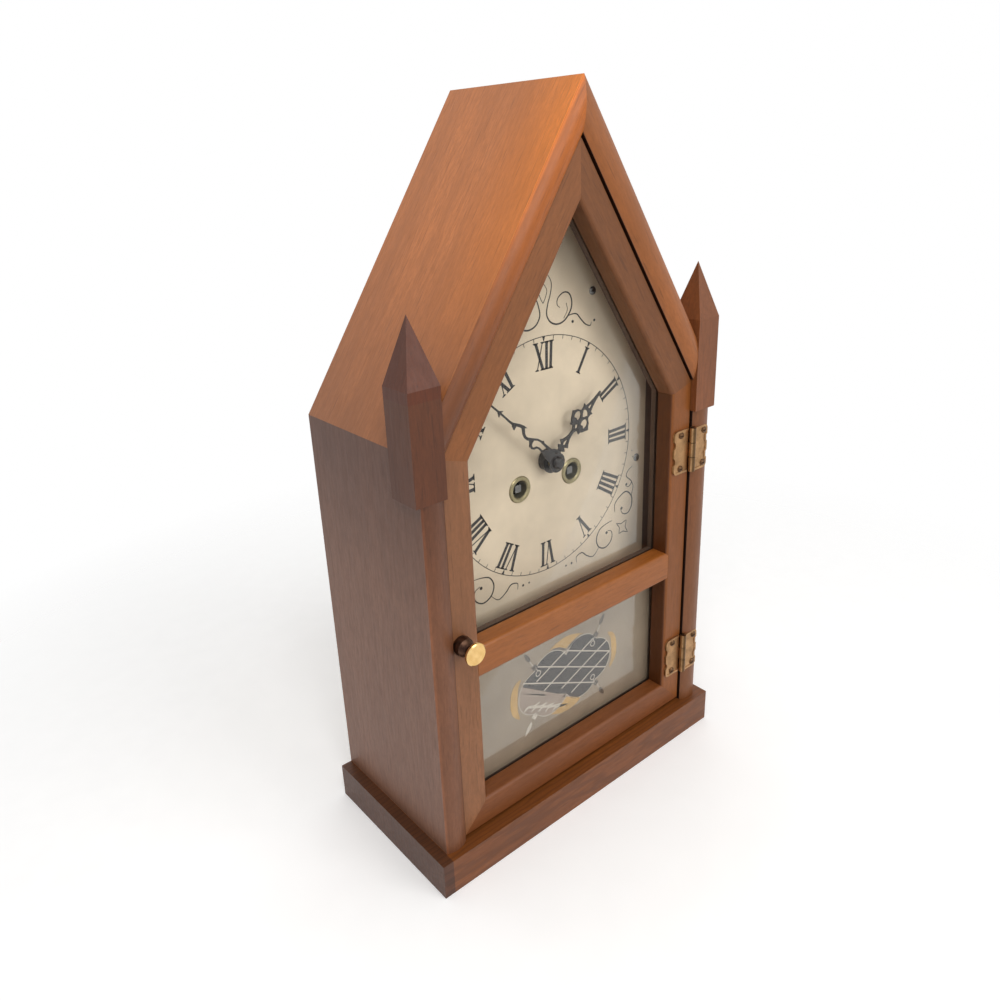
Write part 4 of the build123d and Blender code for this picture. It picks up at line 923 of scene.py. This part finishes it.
def hang_lamp(scene, name, place, size, power):
    """A square studio lamp that looks at the middle of the clock."""
    lamp = bpy.data.lights.new(name, "AREA")
    lamp.size = size
    lamp.energy = power
    lit = bpy.data.objects.new(name, lamp)
    lit.location = place
    aim = Vector((0, 0, 0.18)) - Vector(place)
    lit.rotation_euler = aim.to_track_quat("-Z", "Y").to_euler()
    scene.collection.objects.link(lit)


def white_surround(scene):
    """A world that is white to the eye, in glass and in reflections, and a softer light on the clock."""
    world = bpy.data.worlds.new("white_surround")
    scene.world = world
    world.use_nodes = True
    tree = world.node_tree
    tree.nodes.clear()
    out = tree.nodes.new("ShaderNodeOutputWorld")
    mixed = tree.nodes.new("ShaderNodeMixShader")
    for socket, colour, strength in ((1, (1.0, 0.98, 0.95, 1), 0.42), (2, (1, 1, 1, 1), 1.0)):
        glow = tree.nodes.new("ShaderNodeBackground")
        glow.inputs["Color"].default_value = colour
        glow.inputs["Strength"].default_value = strength
        tree.links.new(glow.outputs[0], mixed.inputs[socket])
    path = tree.nodes.new("ShaderNodeLightPath")
    seen = path.outputs["Is Camera Ray"]
    for ray in ("Is Transmission Ray", "Is Glossy Ray"):
        either = tree.nodes.new("ShaderNodeMath")
        either.operation = "MAXIMUM"
        tree.links.new(seen, either.inputs[0])
        tree.links.new(path.outputs[ray], either.inputs[1])
        seen = either.outputs[0]
    tree.links.new(seen, mixed.inputs[0])
    tree.links.new(mixed.outputs[0], out.inputs["Surface"])


def place_camera(scene):
    """The camera of the photograph, as solved from its edges."""
    turn, tip, roll = (math.radians(angle) for angle in (PHOTO_TURN, PHOTO_TIP, PHOTO_ROLL))
    ahead = Vector((math.sin(turn) * math.cos(tip), math.cos(turn) * math.cos(tip), math.sin(tip)))
    right = Vector((math.cos(turn), -math.sin(turn), 0))
    above = right.cross(ahead)
    across = right * math.cos(roll) + above * math.sin(roll)
    upward = above * math.cos(roll) - right * math.sin(roll)
    lens = bpy.data.cameras.new("camera")
    lens.lens = PHOTO_LENS
    lens.sensor_width = PHOTO_SENSOR
    lens.shift_x, lens.shift_y = PHOTO_SHIFT
    lens.clip_start = 0.01
    view = bpy.data.objects.new("camera", lens)
    pose = Matrix((across, upward, -ahead)).transposed().to_4x4()
    pose.translation = PHOTO_PLACE
    view.matrix_world = pose
    scene.collection.objects.link(view)
    scene.camera = view


class CLOCK_OT_stage(bpy.types.Operator):
    """Sets the floor, the light, the white background and the camera"""

    bl_idname = "clock.stage"
    bl_label = "Stage"

    def execute(self, context):
        scene = context.scene
        lay_floor(scene)
        hang_lamp(scene, "key_light", (-0.29, -0.38, 0.76), 0.30, 2.1)
        hang_lamp(scene, "fill_light", (0.55, -1.6, 0.85), 1.0, 13.0)
        hang_lamp(scene, "top_light", (0.1, 0.3, 1.8), 1.2, 8.0)
        white_surround(scene)
        place_camera(scene)
        scene.view_settings.view_transform = "Standard"
        return {"FINISHED"}


class CLOCK_PT_panel(bpy.types.Panel):
    """Lists the clock's settings and its operators"""

    bl_idname = "CLOCK_PT_panel"
    bl_label = "Steeple clock"
    bl_space_type = "VIEW_3D"
    bl_region_type = "UI"
    bl_category = "Clock"

    def draw(self, context):
        for name in ClockSettings.__annotations__:
            self.layout.prop(context.scene.clock_settings, name)
        for operator in OPERATORS:
            self.layout.operator(operator.bl_idname)


OPERATORS = (CLOCK_OT_woodwork, CLOCK_OT_metalwork, CLOCK_OT_glazing, CLOCK_OT_dial_print,
             CLOCK_OT_tablet, CLOCK_OT_stage)
CLASSES = (ClockSettings, *OPERATORS, CLOCK_PT_panel)


def register():
    for made in CLASSES:
        bpy.utils.register_class(made)
    bpy.types.Scene.clock_settings = bpy.props.PointerProperty(type=ClockSettings)


def unregister():
    del bpy.types.Scene.clock_settings
    for made in reversed(CLASSES):
        bpy.utils.unregister_class(made)


def main():
    """Dresses the whole clock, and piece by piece."""
    register()
    bpy.ops.clock.woodwork()
    bpy.ops.clock.metalwork()
    bpy.ops.clock.glazing()
    bpy.ops.clock.dial_print()
    bpy.ops.clock.tablet()
    bpy.ops.clock.stage()


if __name__ == "__main__":
    main()
